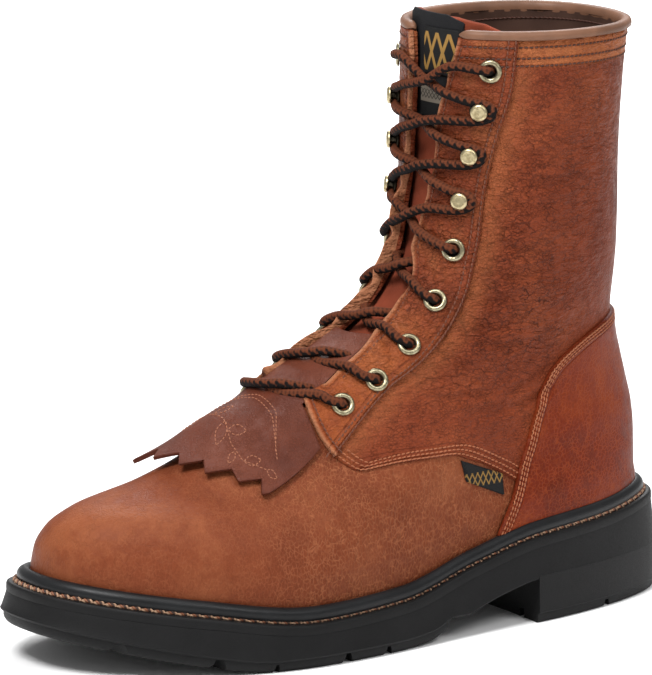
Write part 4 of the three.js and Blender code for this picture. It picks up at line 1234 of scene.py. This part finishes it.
def makeCollarRoll():
    section = [(0.9, 0.75), (1.5, 1.1), (1.75, 2.0), (1.65, 3.0), (1.1, 4.0), (0.0, 4.5), (-1.2, 4.5),
               (-2.3, 4.1), (-3.0, 3.1), (-3.3, 1.8), (-3.35, 0.6), (-3.3, -0.3)]
    start = located("front", [(float(throatLat(245.2)) + 0.2, 245.2)], "front")[0, 0]
    stop = located("front", [(float(throatMed(245.2)) - 0.2, 245.2)], "front")[0, 0] - 600
    us = np.linspace(start, stop, 330)
    path = surface(us, np.full(len(us), 300.0))
    out = normals(us, np.full(len(us), 300.0)) * [1, 1, 0]
    out /= np.linalg.norm(out, axis=1, keepdims=True)
    rings = []
    for k in range(len(us)):
        near = min(k, len(us) - 1 - k) / 7
        squeeze = 1 - (1 - min(near, 1)) ** 2.4 * 0.75
        ring = []
        for o, lift in section:
            o, lift = -0.8 + (o + 0.8) * squeeze, 2.0 + (lift - 2.0) * squeeze
            ring.append(path[k] + out[k] * o + np.array([0, 0, lift]))
        rings.append(ring)
    piece = makeMesh("collarBinding", np.concatenate(rings), tubeFaces(len(us), len(section)),
                     materials["binding"])
    finish(piece, "binding_leather", "collar_binding")


def frontPanel(name, points, outer, inner, material, region="front", **more):
    outline = located("front", densely(points + points[:1], 1.2)[:-1], region)
    if region == "heel":
        outline = unwound(outline)
    return sheet(name, outline, outer, inner, material, **more)


def makeTongue():
    outline = [(-24, 84), (22, 84), (27, 110), (27, 150), (28, 200), (31, 240), (34, 248.5), (27, 252.0),
               (14, 254.0), (-20, 254.6), (-28, 251), (-28, 240), (-27, 200), (-26, 150), (-27, 110)]

    def ripple(u, v, base, away):
        z, x = base[:, 2], base[:, 0]
        wave = 0.5 * np.sin(z / 9.0 + x / 14) * np.exp(-((z - 165) / 50) ** 2)
        wave = wave + 0.35 * np.sin(z / 4.7 - x / 6)
        return wave, {}

    piece = frontPanel("tongue", outline, *panelSizes["tongue"], materials["suede"], edge=0.8,
                       relief=ripple, step=(1.6, 1.4))
    finish(piece, "tongue_suede", "tongue")
    cloth = [(-24, 206), (14, 206), (17, 235), (19, 252.2), (10, 255.0), (-18, 255.2), (-24, 252)]
    piece = frontPanel("tongueCloth", cloth, *panelSizes["cloth"], materials["cloth"], edge=0.3,
                       step=(1.8, 1.6))
    finish(piece, "woven_label")
    for name, points, look, node in (
        ("tongueLabel", [(-4, 229.5), (13.6, 229.5), (17.6, 249), (-4, 249)], "label", "tongue_label"),
        ("tonguePatch", [(-6, 211.5), (9.4, 211.5), (10.6, 224.5), (-6, 224.5)], "patch", "tongue_patch"),
    ):
        piece = frontPanel(name, points, *panelSizes["label"], materials[look], edge=0.3, step=(1.5, 1.2))
        finish(piece, "woven_label", node)


kiltieOutline = [
    (16.0, 188.6), (20.6, 188.4), (24.2, 187.6),
    (26.6, 187), (27.1, 191.7), (27.7, 198.2), (28.1, 206), (28.2, 214), (27.4, 217), (23.2, 214),
    (19.8, 223.1), (14.9, 223), (10.5, 233.1), (6, 230.3), (1.1, 238.8), (-3.2, 234.7), (-10.5, 242),
    (-13.5, 236), (-22, 243.5), (-26.5, 238), (-27, 224), (-26, 210), (-24.5, 200), (-23.5, 190),
    (-18, 188.8), (-9.6, 188.8),
]


# Lift of the teeth: its height, the station where it starts and the run up to its height, then the waves.
kiltieSizes = {"lift": 4.6, "start": 199, "run": 25, "wave": 0.35}


def kiltieLift(base):
    rise = np.clip((heelCentre - base[:, 1] - kiltieSizes["start"]) / kiltieSizes["run"], 0, 1)
    inward = 0.15 + 0.85 * np.clip((20 - base[:, 0]) / 34, 0, 1)
    return kiltieSizes["lift"] * rise * rise * (3 - 2 * rise) * inward


def kiltieWave(base):
    s = heelCentre - base[:, 1]
    return kiltieSizes["wave"] * np.sin(base[:, 0] / 6.5 + s / 14) * np.clip((s - 190) / 30, 0, 1)


def kiltieFace(by):
    return lambda u, v, base: by + kiltieLift(base)


def makeKiltie():
    outline = located("plan", densely(kiltieOutline, 1.2), "top")
    outer, inner = throatLine(1, 108, 124, 0.35), throatLine(-1, 108, 124, 0.35)
    outline = np.concatenate([outer[::-1], outline, inner])

    def waves(u, v, base, away):
        return kiltieWave(base), {"wrinkle": away * 0, "seamAway": away * 0 + farAway}

    upper, under = panelSizes["kiltie"]
    piece = sheet("kiltie", outline, kiltieFace(upper), kiltieFace(under), materials["kiltieLeather"],
                  (1.3, 1.0), edge=0.25, insets=(0.25, 0.7), relief=waves)
    finish(piece, "kiltie_leather", "kiltie")


def makeTrim():
    corners = [(124.9, 73.6), (114, 69.4), (102.4, 65.0), (102.1, 56), (122.3, 64.3), (124.9, 73.6)]
    outline = onView("side", corners, "outer")[:-1]
    tag = sheet("sideTag", outline, *panelSizes["sideTag"], materials["tag"], (1.4, 1.4), edge=0.35)
    finish(tag, "side_tag_fabric", "side_tag")
    corners = [(-7, 229.5), (7, 229.5), (7, 245.4), (-7, 245.4)]
    tab = frontPanel("backTab", corners, *panelSizes["backTab"], materials["counterLeather"], region="heel",
                     edge=0.6, step=(1.3, 1.2))
    finish(tab, "counter_leather", "back_tab")


def woven(name, ground, figure, repeat, share, upper=None, depth=0.14):
    # a woven cloth with a band of lozenges, and another ground above a height
    material, tree, shader, make, place = startMaterial(name, Roughness=0.72, Specular_IOR_Level=0.2)
    parts = make("ShaderNodeSeparateXYZ", {0: place})
    across, up = parts.outputs[repeat["across"]], parts.outputs["Z"]
    a = mathNode(make, "PINGPONG", plus(make, across, 500.0), repeat["wide"])
    b = mathNode(make, "PINGPONG", plus(make, up, -repeat["from"]), repeat["tall"])
    acrossShare = mathNode(make, "DIVIDE", a, repeat["wide"])
    diamond = plus(make, acrossShare, mathNode(make, "DIVIDE", b, repeat["tall"]))
    middle = apart(make, diamond, 1.0)
    shape = ranged(make, middle, 0.20, 0.30, 1.0, 0.0)
    half = repeat["band"]
    inside = ranged(make, apart(make, up, repeat["middle"]), half - 0.15, half + 0.15, 1.0, 0.0)
    shape = times(make, shape, inside)
    rows = ranged(make, mathNode(make, "PINGPONG", up, 0.22), 0.05, 0.18)
    if upper:
        ground = mixed(make, ranged(make, up, upper[0] - 0.2, upper[0] + 0.2), ground, upper[1])
    colour = mixed(make, times(make, shape, share), ground, figure)
    colour = mixed(make, times(make, rows, 0.35), colour, (0.004, 0.004, 0.004))
    tree.links.new(colour, shader.inputs["Base Color"])
    bumped(make, shader, plus(make, rows, shape), depth)
    return material


black, gold = (0.008, 0.008, 0.008), (0.36, 0.20, 0.05)
materials["cloth"] = rubber("tongueCloth", (0.008, 0.008, 0.009), 0.85, 0.1)
# Lozenges: the axis they repeat along, half their width and height, where they start, and the band's middle
# and half height.
lozenges = {
    "label": {"across": "X", "wide": 3.3, "tall": 8.2, "from": 230.8, "middle": 239.0, "band": 8.1},
    "tag": {"across": "Y", "wide": 1.5, "tall": 2.6, "from": 62.0, "middle": 64.6, "band": 2.9},
    "patch": {"across": "X", "wide": 1.1, "tall": 1.3, "from": 214.0, "middle": 221.0, "band": 1.9},
}
materials["label"] = woven("labelCloth", black, gold, lozenges["label"], 1.0)
materials["tag"] = woven("tagCloth", black, gold, lozenges["tag"], 0.75)
greyTop = (217.6, (0.27, 0.23, 0.18))
materials["patch"] = woven("patchCloth", black, (0.02, 0.018, 0.015), lozenges["patch"], 0.8, greyTop)
makeLining()
makeCollarRoll()
makeTongue()
makeKiltie()
makeTrim()
print("lining, collar, tongue, kiltie and trim")


# Fittings, stitches and laces
def shapeMesh(name, points, faces):
    mesh = bpy.data.meshes.new(name)
    mesh.from_pydata((np.asarray(points) * mm).tolist(), [], [tuple(map(int, f)) for f in faces])
    mesh.shade_smooth()
    mesh.set_sharp_from_angle(angle=math.radians(50))
    shape = bpy.data.objects.new(name, mesh)
    scene.collection.objects.link(shape)
    return shape


def lathe(name, profile, segments=36):  # a turned shape; points with r = 0 close it on the axis
    points, rows = [], []
    for r, z in profile:
        if r == 0:
            rows.append([len(points)] * segments)
            points.append((0, 0, z))
        else:
            rows.append([len(points) + k for k in range(segments)])
            points += [(r * math.cos(k * 2 * math.pi / segments), r * math.sin(k * 2 * math.pi / segments), z)
                       for k in range(segments)]
    loop = profile[0][0] > 0
    faces = []
    for k in range(len(rows) - (0 if loop else 1)):
        low, high = rows[k], rows[(k + 1) % len(rows)]
        for i in range(segments):
            j = (i + 1) % segments
            quad = []
            for corner in (low[i], low[j], high[j], high[i]):
                if corner not in quad:
                    quad.append(corner)
            faces.append(quad)
    return shapeMesh(name, points, faces)


def twist(name, phase, size):  # one ply of a rope stitch, curving down into its holes
    steps, sides = 22, 6
    t = np.linspace(0, 1, steps)
    x = (t - 0.5) * size["long"]
    turn = phase + t * size["turns"] * 2 * math.pi
    dip = 1 - (2 * t - 1) ** 4
    reach = size["ply"] * 0.95
    path = np.stack([x, np.cos(turn) * reach, np.sin(turn) * reach + size["rise"] * dip - 0.2], 1)
    points, faces = tube(path, size["ply"], sides)
    return shapeMesh(name, points, faces)


def tube(path, radius, sides, relief=None):
    tangent = np.gradient(path, axis=0)
    tangent /= np.linalg.norm(tangent, axis=1, keepdims=True)
    normal = np.zeros_like(path)
    first = np.cross(tangent[0], [0.3, 0.2, 1.0])
    normal[0] = first / np.linalg.norm(first)
    for k in range(1, len(path)):
        n = normal[k - 1] - tangent[k] * (normal[k - 1] @ tangent[k])
        normal[k] = n / np.linalg.norm(n)
    side = np.cross(tangent, normal)
    a = np.arange(sides) * 2 * math.pi / sides
    r = np.full((len(path), sides), float(radius)) if relief is None else radius * relief
    ring = normal[:, None] * np.cos(a)[None, :, None] + side[:, None] * np.sin(a)[None, :, None]
    points = (path[:, None] + ring * r[..., None]).reshape(-1, 3)
    return points, tubeFaces(len(path), sides)


def placeTree(name, bent):
    # A shape on each point, standing along "aim" and lying along "along". A bent one is a stitch.
    tree = bpy.data.node_groups.new(name, "GeometryNodeTree")
    inputs = [("Points", "NodeSocketGeometry")]
    if bent:
        inputs += [(label, "NodeSocketFloat") for label in ("Stitch length", "Thread radius", "Rise")]
    else:
        inputs += [("Shape", "NodeSocketObject")]
    inputs += [("Finish", "NodeSocketMaterial")]
    for label, kind in inputs:
        tree.interface.new_socket(label, in_out="INPUT", socket_type=kind)
    tree.interface.new_socket("Geometry", in_out="OUTPUT", socket_type="NodeSocketGeometry")
    make = nodeMaker(tree)
    given = make("NodeGroupInput")

    def axis(label):
        node = make("GeometryNodeInputNamedAttribute", {"Name": label}, data_type="FLOAT_VECTOR")
        return node.outputs["Attribute"]

    turn = make("FunctionNodeAxesToRotation", {"Primary Axis": axis("aim"), "Secondary Axis": axis("along")},
                primary_axis="Z", secondary_axis="X").outputs[0]
    if bent:
        half = times(make, given.outputs["Stitch length"], 0.5)
        less = times(make, half, -1.0)
        sink = times(make, given.outputs["Thread radius"], -1.3)
        start = make("ShaderNodeCombineXYZ", {"X": less, "Z": sink}).outputs[0]
        top = make("ShaderNodeCombineXYZ", {"Z": given.outputs["Rise"]}).outputs[0]
        end = make("ShaderNodeCombineXYZ", {"X": half, "Z": sink}).outputs[0]
        bend = {"Resolution": 5, "Start": start, "Middle": top, "End": end}
        arc = make("GeometryNodeCurveQuadraticBezier", bend)
        around = {"Resolution": 6, "Radius": given.outputs["Thread radius"]}
        ring = make("GeometryNodeCurvePrimitiveCircle", around)
        sweep = {"Curve": arc.outputs[0], "Profile Curve": ring.outputs[0], "Fill Caps": True}
        shape = make("GeometryNodeCurveToMesh", sweep).outputs[0]
    else:
        shape = make("GeometryNodeObjectInfo", {"Object": given.outputs["Shape"]}).outputs["Geometry"]
    instances = {"Points": given.outputs["Points"], "Instance": shape, "Rotation": turn}
    placed = make("GeometryNodeInstanceOnPoints", instances)
    real = make("GeometryNodeRealizeInstances", {"Geometry": placed.outputs[0]})
    out = real.outputs[0]
    if bent:
        out = make("GeometryNodeSetShadeSmooth", {"Geometry": out, "Shade Smooth": True}).outputs[0]
    out = make("GeometryNodeSetMaterial", {"Geometry": out, "Material": given.outputs["Finish"]}).outputs[0]
    result = make("NodeGroupOutput")
    tree.links.new(out, result.inputs[0])
    return tree


def placeOn(name, tree, places, aims, alongs, values):
    mesh = bpy.data.meshes.new(name + "Points")
    mesh.from_pydata((np.asarray(places) * mm).tolist(), [], [])
    for key, vectors in (("aim", aims), ("along", alongs)):
        layer = mesh.attributes.new(key, "FLOAT_VECTOR", "POINT")
        layer.data.foreach_set("vector", np.asarray(vectors, np.float32).ravel())
    piece = bpy.data.objects.new(name, mesh)
    scene.collection.objects.link(piece)
    nodes = piece.modifiers.new("place", "NODES")
    nodes.node_group = tree
    for item in tree.interface.items_tree:
        if item.in_out == "INPUT" and item.name in values:
            nodes[item.identifier] = values[item.name]
    plainMesh(piece)
    for key in ("aim", "along"):
        layer = piece.data.attributes.get(key)
        if layer:
            piece.data.attributes.remove(layer)
    return piece


placeTrees = {True: placeTree("stitchesAlong", True), False: placeTree("shapeOnPoints", False)}


def metal(name, colour, rough, patina):
    material, tree, shader, make, place = startMaterial(name, Metallic=1.0, Roughness=rough)
    cloud = noise(make, place, 0.6, 3, 0.6)
    tree.links.new(mixed(make, ranged(make, cloud, 0.4, 0.7), colour, patina), shader.inputs["Base Color"])
    tree.links.new(ranged(make, cloud, 0.3, 0.7, rough - 0.06, rough + 0.14), shader.inputs["Roughness"])
    bumped(make, shader, noise(make, place, 2.5, 2, 0.5), 0.02)
    return material


def thread(name, colour, dark):
    material, tree, shader, make, place = startMaterial(name, Roughness=0.7)
    fibre = noise(make, place, 3.0, 2, 0.6)
    tree.links.new(mixed(make, ranged(make, fibre, 0.35, 0.65), dark, colour), shader.inputs["Base Color"])
    return material


materials["brass"] = metal("antiqueBrass", (0.50, 0.42, 0.25), 0.34, (0.30, 0.24, 0.13))
materials["eyeletBrass"] = metal("eyeletBrass", (0.36, 0.32, 0.21), 0.30, (0.20, 0.17, 0.10))
materials["darkPlate"] = metal("hookPlate", (0.06, 0.05, 0.035), 0.4, (0.02, 0.017, 0.013))
threads = {  # colour and shade
    "threadBrown": ((0.150, 0.042, 0.016), (0.07, 0.018, 0.007)),
    "threadDark": ((0.075, 0.020, 0.008), (0.030, 0.009, 0.004)),
    "threadTan": ((0.33, 0.125, 0.060), (0.20, 0.065, 0.030)),
    "threadOrange": ((0.36, 0.115, 0.040), (0.20, 0.055, 0.020)),
    "plyCream": ((0.40, 0.25, 0.155), (0.22, 0.12, 0.07)),
    "plyOrange": ((0.24, 0.085, 0.036), (0.12, 0.040, 0.018)),
    "plyDark": ((0.06, 0.025, 0.014), (0.025, 0.012, 0.008)),
}
for name, (colour, shade) in threads.items():
    materials[name] = thread(name, colour, shade)

fittingSizes = {"eyeletLift": 1.95, "hookLift": 1.9}
eyeletProfile = [(2.55, -2.2), (3.05, -2.2), (3.05, -0.25), (4.3, -0.25), (4.85, -0.1), (4.98, 0.25),
                 (4.8, 0.75), (4.35, 1.15), (3.75, 1.3), (3.2, 1.15), (2.75, 0.7), (2.55, 0.1)]
plateProfile = [(0, -0.5), (4.4, -0.5), (4.7, -0.1), (4.7, 0.35), (4.4, 0.6), (2.2, 0.7), (1.7, 1.0),
                (1.55, 1.5), (1.55, 3.3), (0, 3.3)]
capProfile = [(0, 3.1), (2.2, 3.1), (3.2, 3.25), (3.65, 3.7), (3.6, 4.2), (3.2, 4.7), (2.6, 4.95),
              (2.3, 4.98), (2.0, 4.9), (1.0, 5.0), (0, 5.05)]


def fittingPlaces(kind, lift):
    places, aims, alongs = [], [], []
    for side in (1, -1):
        for k, row in enumerate(lacing):
            if row[3] == kind:
                u, v = spots[side][k]
                n = normals(np.array([u]), np.array([v]))[0]
                places.append(surface(np.array([u]), np.array([v]))[0] + n * lift)
                aims.append(n)
                alongs.append(np.cross(n, [0, 0, 1]))
    return places, aims, alongs


def makeFittings():
    nodes = {"eyelet": [], "hook": []}
    for side in ("lat", "med"):
        for k, row in enumerate(lacing):
            nodes[row[3]].append(f"{row[3]}_{side}_{k + 1}")
    for name, profile, kind, finishName, replaced in (
        ("eyelets", eyeletProfile, "eyelet", "eyeletBrass", nodes["eyelet"]),
        ("hookPlates", plateProfile, "hook", "darkPlate", []),
        ("hookCaps", capProfile, "hook", "brass", nodes["hook"]),
    ):
        shape = lathe(name + "Shape", profile)
        lift = fittingSizes["eyeletLift" if kind == "eyelet" else "hookLift"]
        values = {"Shape": shape, "Finish": materials[finishName]}
        piece = placeOn(name, placeTrees[False], *fittingPlaces(kind, lift), values)
        bpy.data.objects.remove(shape)
        finish(piece, "brass", *replaced)


# Laces: one cord, from the outer top eyelet down to the hidden bar, and up to the inner top eyelet.
laceSizes = {
    "radius": 2.05, "under": -3.9, "over": 3.7, "step": 0.55, "sides": 18,
    # length of one turn of the braid, and the size and height of its bumps in radii
    "braid": 3.4, "thin": 0.97, "bump": 0.075,
}


def spotPoint(side, k, lift, du=0.0, dz=0.0):
    # a place by a fitting, moved du outward from the throat and dz up, at a height above the surface
    x = lacing[k][1] if side > 0 else lacing[k][2]
    uv = located("front", [(x + side * du, lacing[k][0] + dz)], "front")
    return lifted(uv[:, 0], uv[:, 1], lift)[0]


def edgePoint(side, z, inset, lift):
    x = float(throatLat(z)) - inset if side > 0 else float(throatMed(z)) + inset
    uv = located("front", [(x, z)], "front")
    return lifted(uv[:, 0], uv[:, 1], lift)[0]


def strand(side, k):  # from fitting k on one side to fitting k + 1 on the other
    other, high = -side, side < 0
    low, top = lacing[k], lacing[k + 1]
    z0, z1 = low[0], top[0]
    points = []
    hookFrom, hookTo = low[3] == "hook", top[3] == "hook"
    if hookFrom:
        points += [spotPoint(side, k, 3.3, 0.6, 3.3), spotPoint(side, k, 3.5, -3.0, 3.9)]
        z0 = z0 + 4.2
    else:
        leaving = [(-1.2, 0.2), (2.2, -0.3, 0.3), (3.9, -3.2, 1.2)]
        points += [spotPoint(side, k, *step) for step in leaving]
    rise = z1 - z0
    edge = 0.30 if not hookFrom else 0.22
    points.append(edgePoint(side, z0 + rise * edge, -2.0, laceSizes["over"] + 0.2))
    middleZ = z0 + rise * 0.52
    lat, med = float(throatLat(middleZ)), float(throatMed(middleZ))
    hump = (2.9 if high else -0.6) + (1.6 if middleZ < 125 else 0)
    if hookTo or hookFrom:
        hump += 1.0
    for share in (0.36, 0.5, 0.64):
        z = z0 + rise * (edge + (0.74 - edge) * share)
        x = lat + (med - lat) * (share if side > 0 else 1 - share)
        uv = located("front", [(x, z)], "front")
        points.append(lifted(uv[:, 0], uv[:, 1], hump)[0])
    over, under = laceSizes["over"], laceSizes["under"]
    if hookTo:
        points.append(edgePoint(other, z1 - 4.6, -2.5, over + 0.2))
        arrival = [(3.4, -2.6, -4.1), (3.3, 0.8, -3.4), (3.3, 3.1, -1.7), (3.3, 3.5, 0), (3.3, 3.0, 1.8)]
    elif k + 1 == 8:
        points.append(edgePoint(other, z1 + 1.5, -1.5, over))
        arrival = [(3.9, -3.6, 0.9), (2.4, -0.6, 0.2), (-2.2, 0.2, 0)]
    else:
        points += [edgePoint(other, z0 + rise * 0.72, 0.8, -0.9),
                   edgePoint(other, z0 + rise * 0.78, -2.5, under)]
        arrival = [(under, -3.5, -0.6)]
    return points + [spotPoint(other, k + 1, *step) for step in arrival]


def laceRoute():
    chains = []
    for first in (1, -1):
        points, side = [], first
        for k in range(8):
            points += strand(side, k)
            side = -side
        chains.append(points)
    bar = [edgePoint(1, lacing[0][0], -5, -4.4), edgePoint(-1, lacing[0][0], -5, -4.4)]
    return np.array(chains[0][::-1] + bar + chains[1])


def splined(points, step):  # centripetal Catmull-Rom, resampled evenly
    gaps = np.sqrt(np.linalg.norm(np.diff(points, axis=0), axis=1))
    at = np.concatenate([[0], np.cumsum(gaps)])
    fine = np.linspace(0, at[-1], len(points) * 24)
    path = np.stack([hermite(at, points[:, k], fine) for k in range(3)], 1)
    along = lengthsAlong(path)
    t = np.linspace(0, along[-1], int(along[-1] / step))
    return np.stack([np.interp(t, along, path[:, k]) for k in range(3)], 1), t


def makeLace():
    path, along = splined(laceRoute(), laceSizes["step"])
    for _ in range(3):
        path[1:-1] = (path[:-2] + 2 * path[1:-1] + path[2:]) / 4
    sides = laceSizes["sides"]
    angle = np.arange(sides) / sides
    a = along[:, None] / laceSizes["braid"] + angle[None] * 3
    b = along[:, None] / laceSizes["braid"] - angle[None] * 3
    braid = np.cos(a * 2 * math.pi) * np.cos(b * 2 * math.pi)
    thick = laceSizes["thin"] + laceSizes["bump"] * braid
    points, faces = tube(path, laceSizes["radius"], sides, thick)
    out = points.reshape(len(path), sides, 3) - path[:, None]
    out /= np.linalg.norm(out, axis=2, keepdims=True)
    # Painted shade: the tone falls where the lace's surface faces down, which darkens its underside; the
    # ticks are the braid's black strands, and the tone also changes slowly along the lace.
    dark = 0.12 + 1.6 * out[..., 2] + 0.45 * np.sin(along[:, None] / 37)
    tick = np.sin(b * 2 * math.pi) * 0.75 + np.sin(a * 2 * math.pi) * 0.45
    tone = 1 / (1 + np.exp(-(dark + tick) * 3))
    extra = {"tone": tone.ravel(), "relief": braid.ravel()}
    piece = makeMesh("lace", points, faces, materials["lace"], sharp=80, extra=extra)
    print("lace length mm", round(float(along[-1])))
    finish(piece, "lace_cord", *[f"lace_crossing_{i}" for i in range(1, 9)])


def laceMaterial():
    material, tree, shader, make, place = startMaterial("laceCord", Roughness=0.8, Specular_IOR_Level=0.12)
    tone = attribute(make, "tone")
    relief = attribute(make, "relief")
    fibre = noise(make, place, 4.0, 2, 0.6)
    # The tone attribute carries the painted shade on the lace's underside as well as the braid's black ticks.
    colour = mixed(make, ranged(make, tone, 0.3, 0.7), (0.0035, 0.003, 0.003), (0.105, 0.029, 0.012))
    # Painted shade in the hollows between the braid's bumps.
    colour = mixed(make, ranged(make, relief, -0.7, 0.2, 0.55, 0.0), colour, (0.006, 0.004, 0.004))
    colour = mixed(make, ranged(make, fibre, 0.55, 0.8, 0.0, 0.2), colour, (0.17, 0.06, 0.03))
    tree.links.new(colour, shader.inputs["Base Color"])
    bumped(make, shader, fibre, 0.12)
    return material


materials["lace"] = laceMaterial()
makeFittings()
makeLace()
print("fittings and lace")


# Stitch rows
stitchSizes = {"pitch": 2.2, "long": 1.8, "radius": 0.33, "rise": 0.62}
fineSizes = {"pitch": 1.75, "long": 1.35, "radius": 0.23, "rise": 0.4}
ropeSizes = {"pitch": 4.9, "long": 4.5, "turns": 1.25, "ply": 0.50, "rise": 0.65}


def beside(line, by, toward):  # the line moved on the surface, to the side where "toward" lies
    scale = stretch(line)
    tangent = np.gradient(line, axis=0) * scale
    left = np.stack([-tangent[:, 1], tangent[:, 0]], 1)
    left /= np.linalg.norm(left, axis=1, keepdims=True) + 1e-9
    for _ in range(2):
        left[1:-1] = (left[:-2] + 2 * left[1:-1] + left[2:]) / 4
    near = np.argmin(np.linalg.norm((line - toward) * scale, axis=1))
    sign = 1 if (left[near] * (np.asarray(toward) - line[near]) * scale[near]).sum() > 0 else -1
    return line + sign * left * by / scale


def rowPlaces(line, lift, pitch, slant=0.12):
    uv = resampled(line, pitch)
    mid = (uv[1:] + uv[:-1]) / 2
    by = lift(mid) if callable(lift) else lift
    aims = normals(mid[:, 0], mid[:, 1])
    places = surface(mid[:, 0], mid[:, 1]) + aims * np.asarray(by).reshape(-1, 1)
    alongs = surface(uv[1:, 0], uv[1:, 1]) - surface(uv[:-1, 0], uv[:-1, 1])
    alongs /= np.linalg.norm(alongs, axis=1, keepdims=True) + 1e-9
    alongs = alongs + np.cross(aims, alongs) * slant
    return places, aims, alongs


def stitchRows(name, rows, material, slot, sizes=stitchSizes):
    sets = [rowPlaces(line, lift, sizes["pitch"]) for line, lift in rows]
    joined = [np.concatenate([s[k] for s in sets]) for k in range(3)]
    piece = placeOn(name, placeTrees[True], *joined, {
        "Stitch length": sizes["long"] * mm, "Thread radius": sizes["radius"] * mm,
        "Rise": sizes["rise"] * mm, "Finish": material,
    })
    finish(piece, slot)


def onLeather(by, extra=None):
    def lift(uv):
        base = surface(uv[:, 0], uv[:, 1])
        return bodyShift(base) + by + (extra(uv[:, 0], uv[:, 1], base) if extra else 0)

    return lift


def makeStitches():
    heel = (0.0, 60.0)
    eyestay, quarter, collar, sides = [], [], [], []
    for side, region in ((1, "outer"), (-1, "inner")):
        inEyestay = tuple(spots[side][4])
        ankle = tuple(onView("side", [(100, 130), (99, 130)], region)[0])
        back = onView("side", eyestayBack, region, soft=True)
        eyestay += [(beside(back, by, inEyestay), onLeather(1.6)) for by in (1.1, 4.0)]
        front = onView("side", eyestayFront, region, soft=True)
        eyestay.append((beside(front, 2.4, inEyestay), onLeather(2.25)))
        eyestay.append((throatLine(side, 109, 243, -2.6), onLeather(1.75)))
        lap = onView("side", quarterEdge, region, soft=True)
        quarter += [(beside(lap, by, ankle), onLeather(0.0)) for by in (1.3, 3.2, 5.2)]
        sides.append(onView("side", counterEdge, region, soft=True))
        for z, stop in zip(collarRows, (95, 95.8, 96.4)):
            collar.append((onView("side", [(stop, z), (60, z), (24, z)], region, soft=True), onLeather(0.0)))
            start = throatLine(side, z, z + 0.1, -2.8)[0]
            stopAt = onView("side", [(stop + 1.5, z), (stop + 1, z)], region)[0]
            collar.append((np.linspace(start, stopAt, 40), onLeather(1.6)))
    edge = np.concatenate([sides[0], unwound(sides[1])[::-1]])
    counterRows = [(beside(edge, by, heel), onLeather(0.0, counterThick)) for by in (1.3, 3.0, 4.7)]
    inside = [(np.stack([np.linspace(-205, 205, 500), np.full(500, v)], 1), -3.3) for v in (296, 288, 285.5)]
    stitchRows("liningStitches", inside, materials["threadDark"], "binding_leather")
    stitchRows("eyestayStitches", eyestay, materials["threadBrown"], "eyestay_leather")
    stitchRows("quarterStitches", quarter, materials["threadOrange"], "upper_leather")
    stitchRows("counterStitches", counterRows, materials["threadOrange"], "counter_leather")
    stitchRows("collarStitches", collar, materials["threadDark"], "upper_leather")
    tab = densely([(-5.6, 230.8), (5.6, 230.8), (5.6, 243.6), (-5.6, 243.6), (-5.6, 230.8)], 1.2)
    rows = [(unwound(located("front", tab, "heel")), onLeather(panelSizes["backTab"][0]))]
    stitchRows("backTabStitches", rows, materials["threadBrown"], "counter_leather", fineSizes)


# Stitched ornament on the kiltie: two arcs, and a vine with leaves and buds, as x and station.
leaves = [  # x, station, turn, length and half width
    (-11, 215.5, -20, 8, 2.2), (-6, 214.2, 150, 7, 2.0), (1, 214.6, 25, 9, 2.4), (4, 216, 135, 7, 2.0),
    (11, 218.4, 20, 5, 1.6), (15.5, 217.2, 155, 7, 2.0), (22, 210.5, 120, 4.5, 1.6), (-17, 219, -60, 5, 1.7),
]


def leaf(x, s, turn, long, wide):
    t = np.linspace(0, 1, 15)
    half = wide * np.sin(math.pi * t) * (1 - 0.35 * t)
    a = math.radians(turn)
    along, across = np.array([math.sin(a), math.cos(a)]), np.array([math.cos(a), -math.sin(a)])
    right = np.array([x, s]) + t[:, None] * long * along + half[:, None] * across
    left = np.array([x, s]) + t[:, None] * long * along - half[:, None] * across
    return [right, left]


def makeOrnament():
    lines = []
    for by in (0, 2.0):
        lines.append([(21.5 - by, 205 - by * 0.3), (12, 200.5 - by), (1, 200.8 - by), (-9, 204.5 - by),
                      (-16.5 + by, 211.5 - by * 0.5)])
    lines.append([(-17, 219), (-9, 214.5), (0, 214.5), (8, 218), (15, 217.5), (22, 210.5)])
    for values in leaves:
        lines += leaf(*values)

    def lift(uv):
        base = surface(uv[:, 0], uv[:, 1])
        return panelSizes["kiltie"][0] + kiltieLift(base) + kiltieWave(base)

    rows = [(located("plan", densely(line, 0.8), "top"), lift) for line in lines]
    stitchRows("kiltieStitches", rows, materials["threadTan"], "kiltie_leather", fineSizes)


# Welt seam: three plies of thread twisted together in each stitch, all the way round.
def makeRopes():
    ring = soleRing(grown(solePlan, -3.3), rimZ, 1200)
    along = lengthsAlong(ring)
    at = np.arange(ropeSizes["pitch"] / 2, along[-1], ropeSizes["pitch"])
    places = np.stack([np.interp(at, along, ring[:, k]) for k in range(3)], 1) + [0, 0, 0.5]
    ahead = np.stack([np.interp(at + 1.0, along, ring[:, k]) for k in range(3)], 1) + [0, 0, 0.5]
    alongs = ahead - places
    aims = np.tile([0, 0, 1.0], (len(at), 1))
    for k, name in enumerate(("plyCream", "plyOrange", "plyDark")):
        shape = twist(name + "Shape", k * 2 * math.pi / 3, ropeSizes)
        values = {"Shape": shape, "Finish": materials[name]}
        piece = placeOn("welt" + name[0].upper() + name[1:], placeTrees[False], places, aims, alongs, values)
        bpy.data.objects.remove(shape)
        finish(piece, "welt")


makeStitches()
makeOrnament()
makeRopes()
print("stitches")
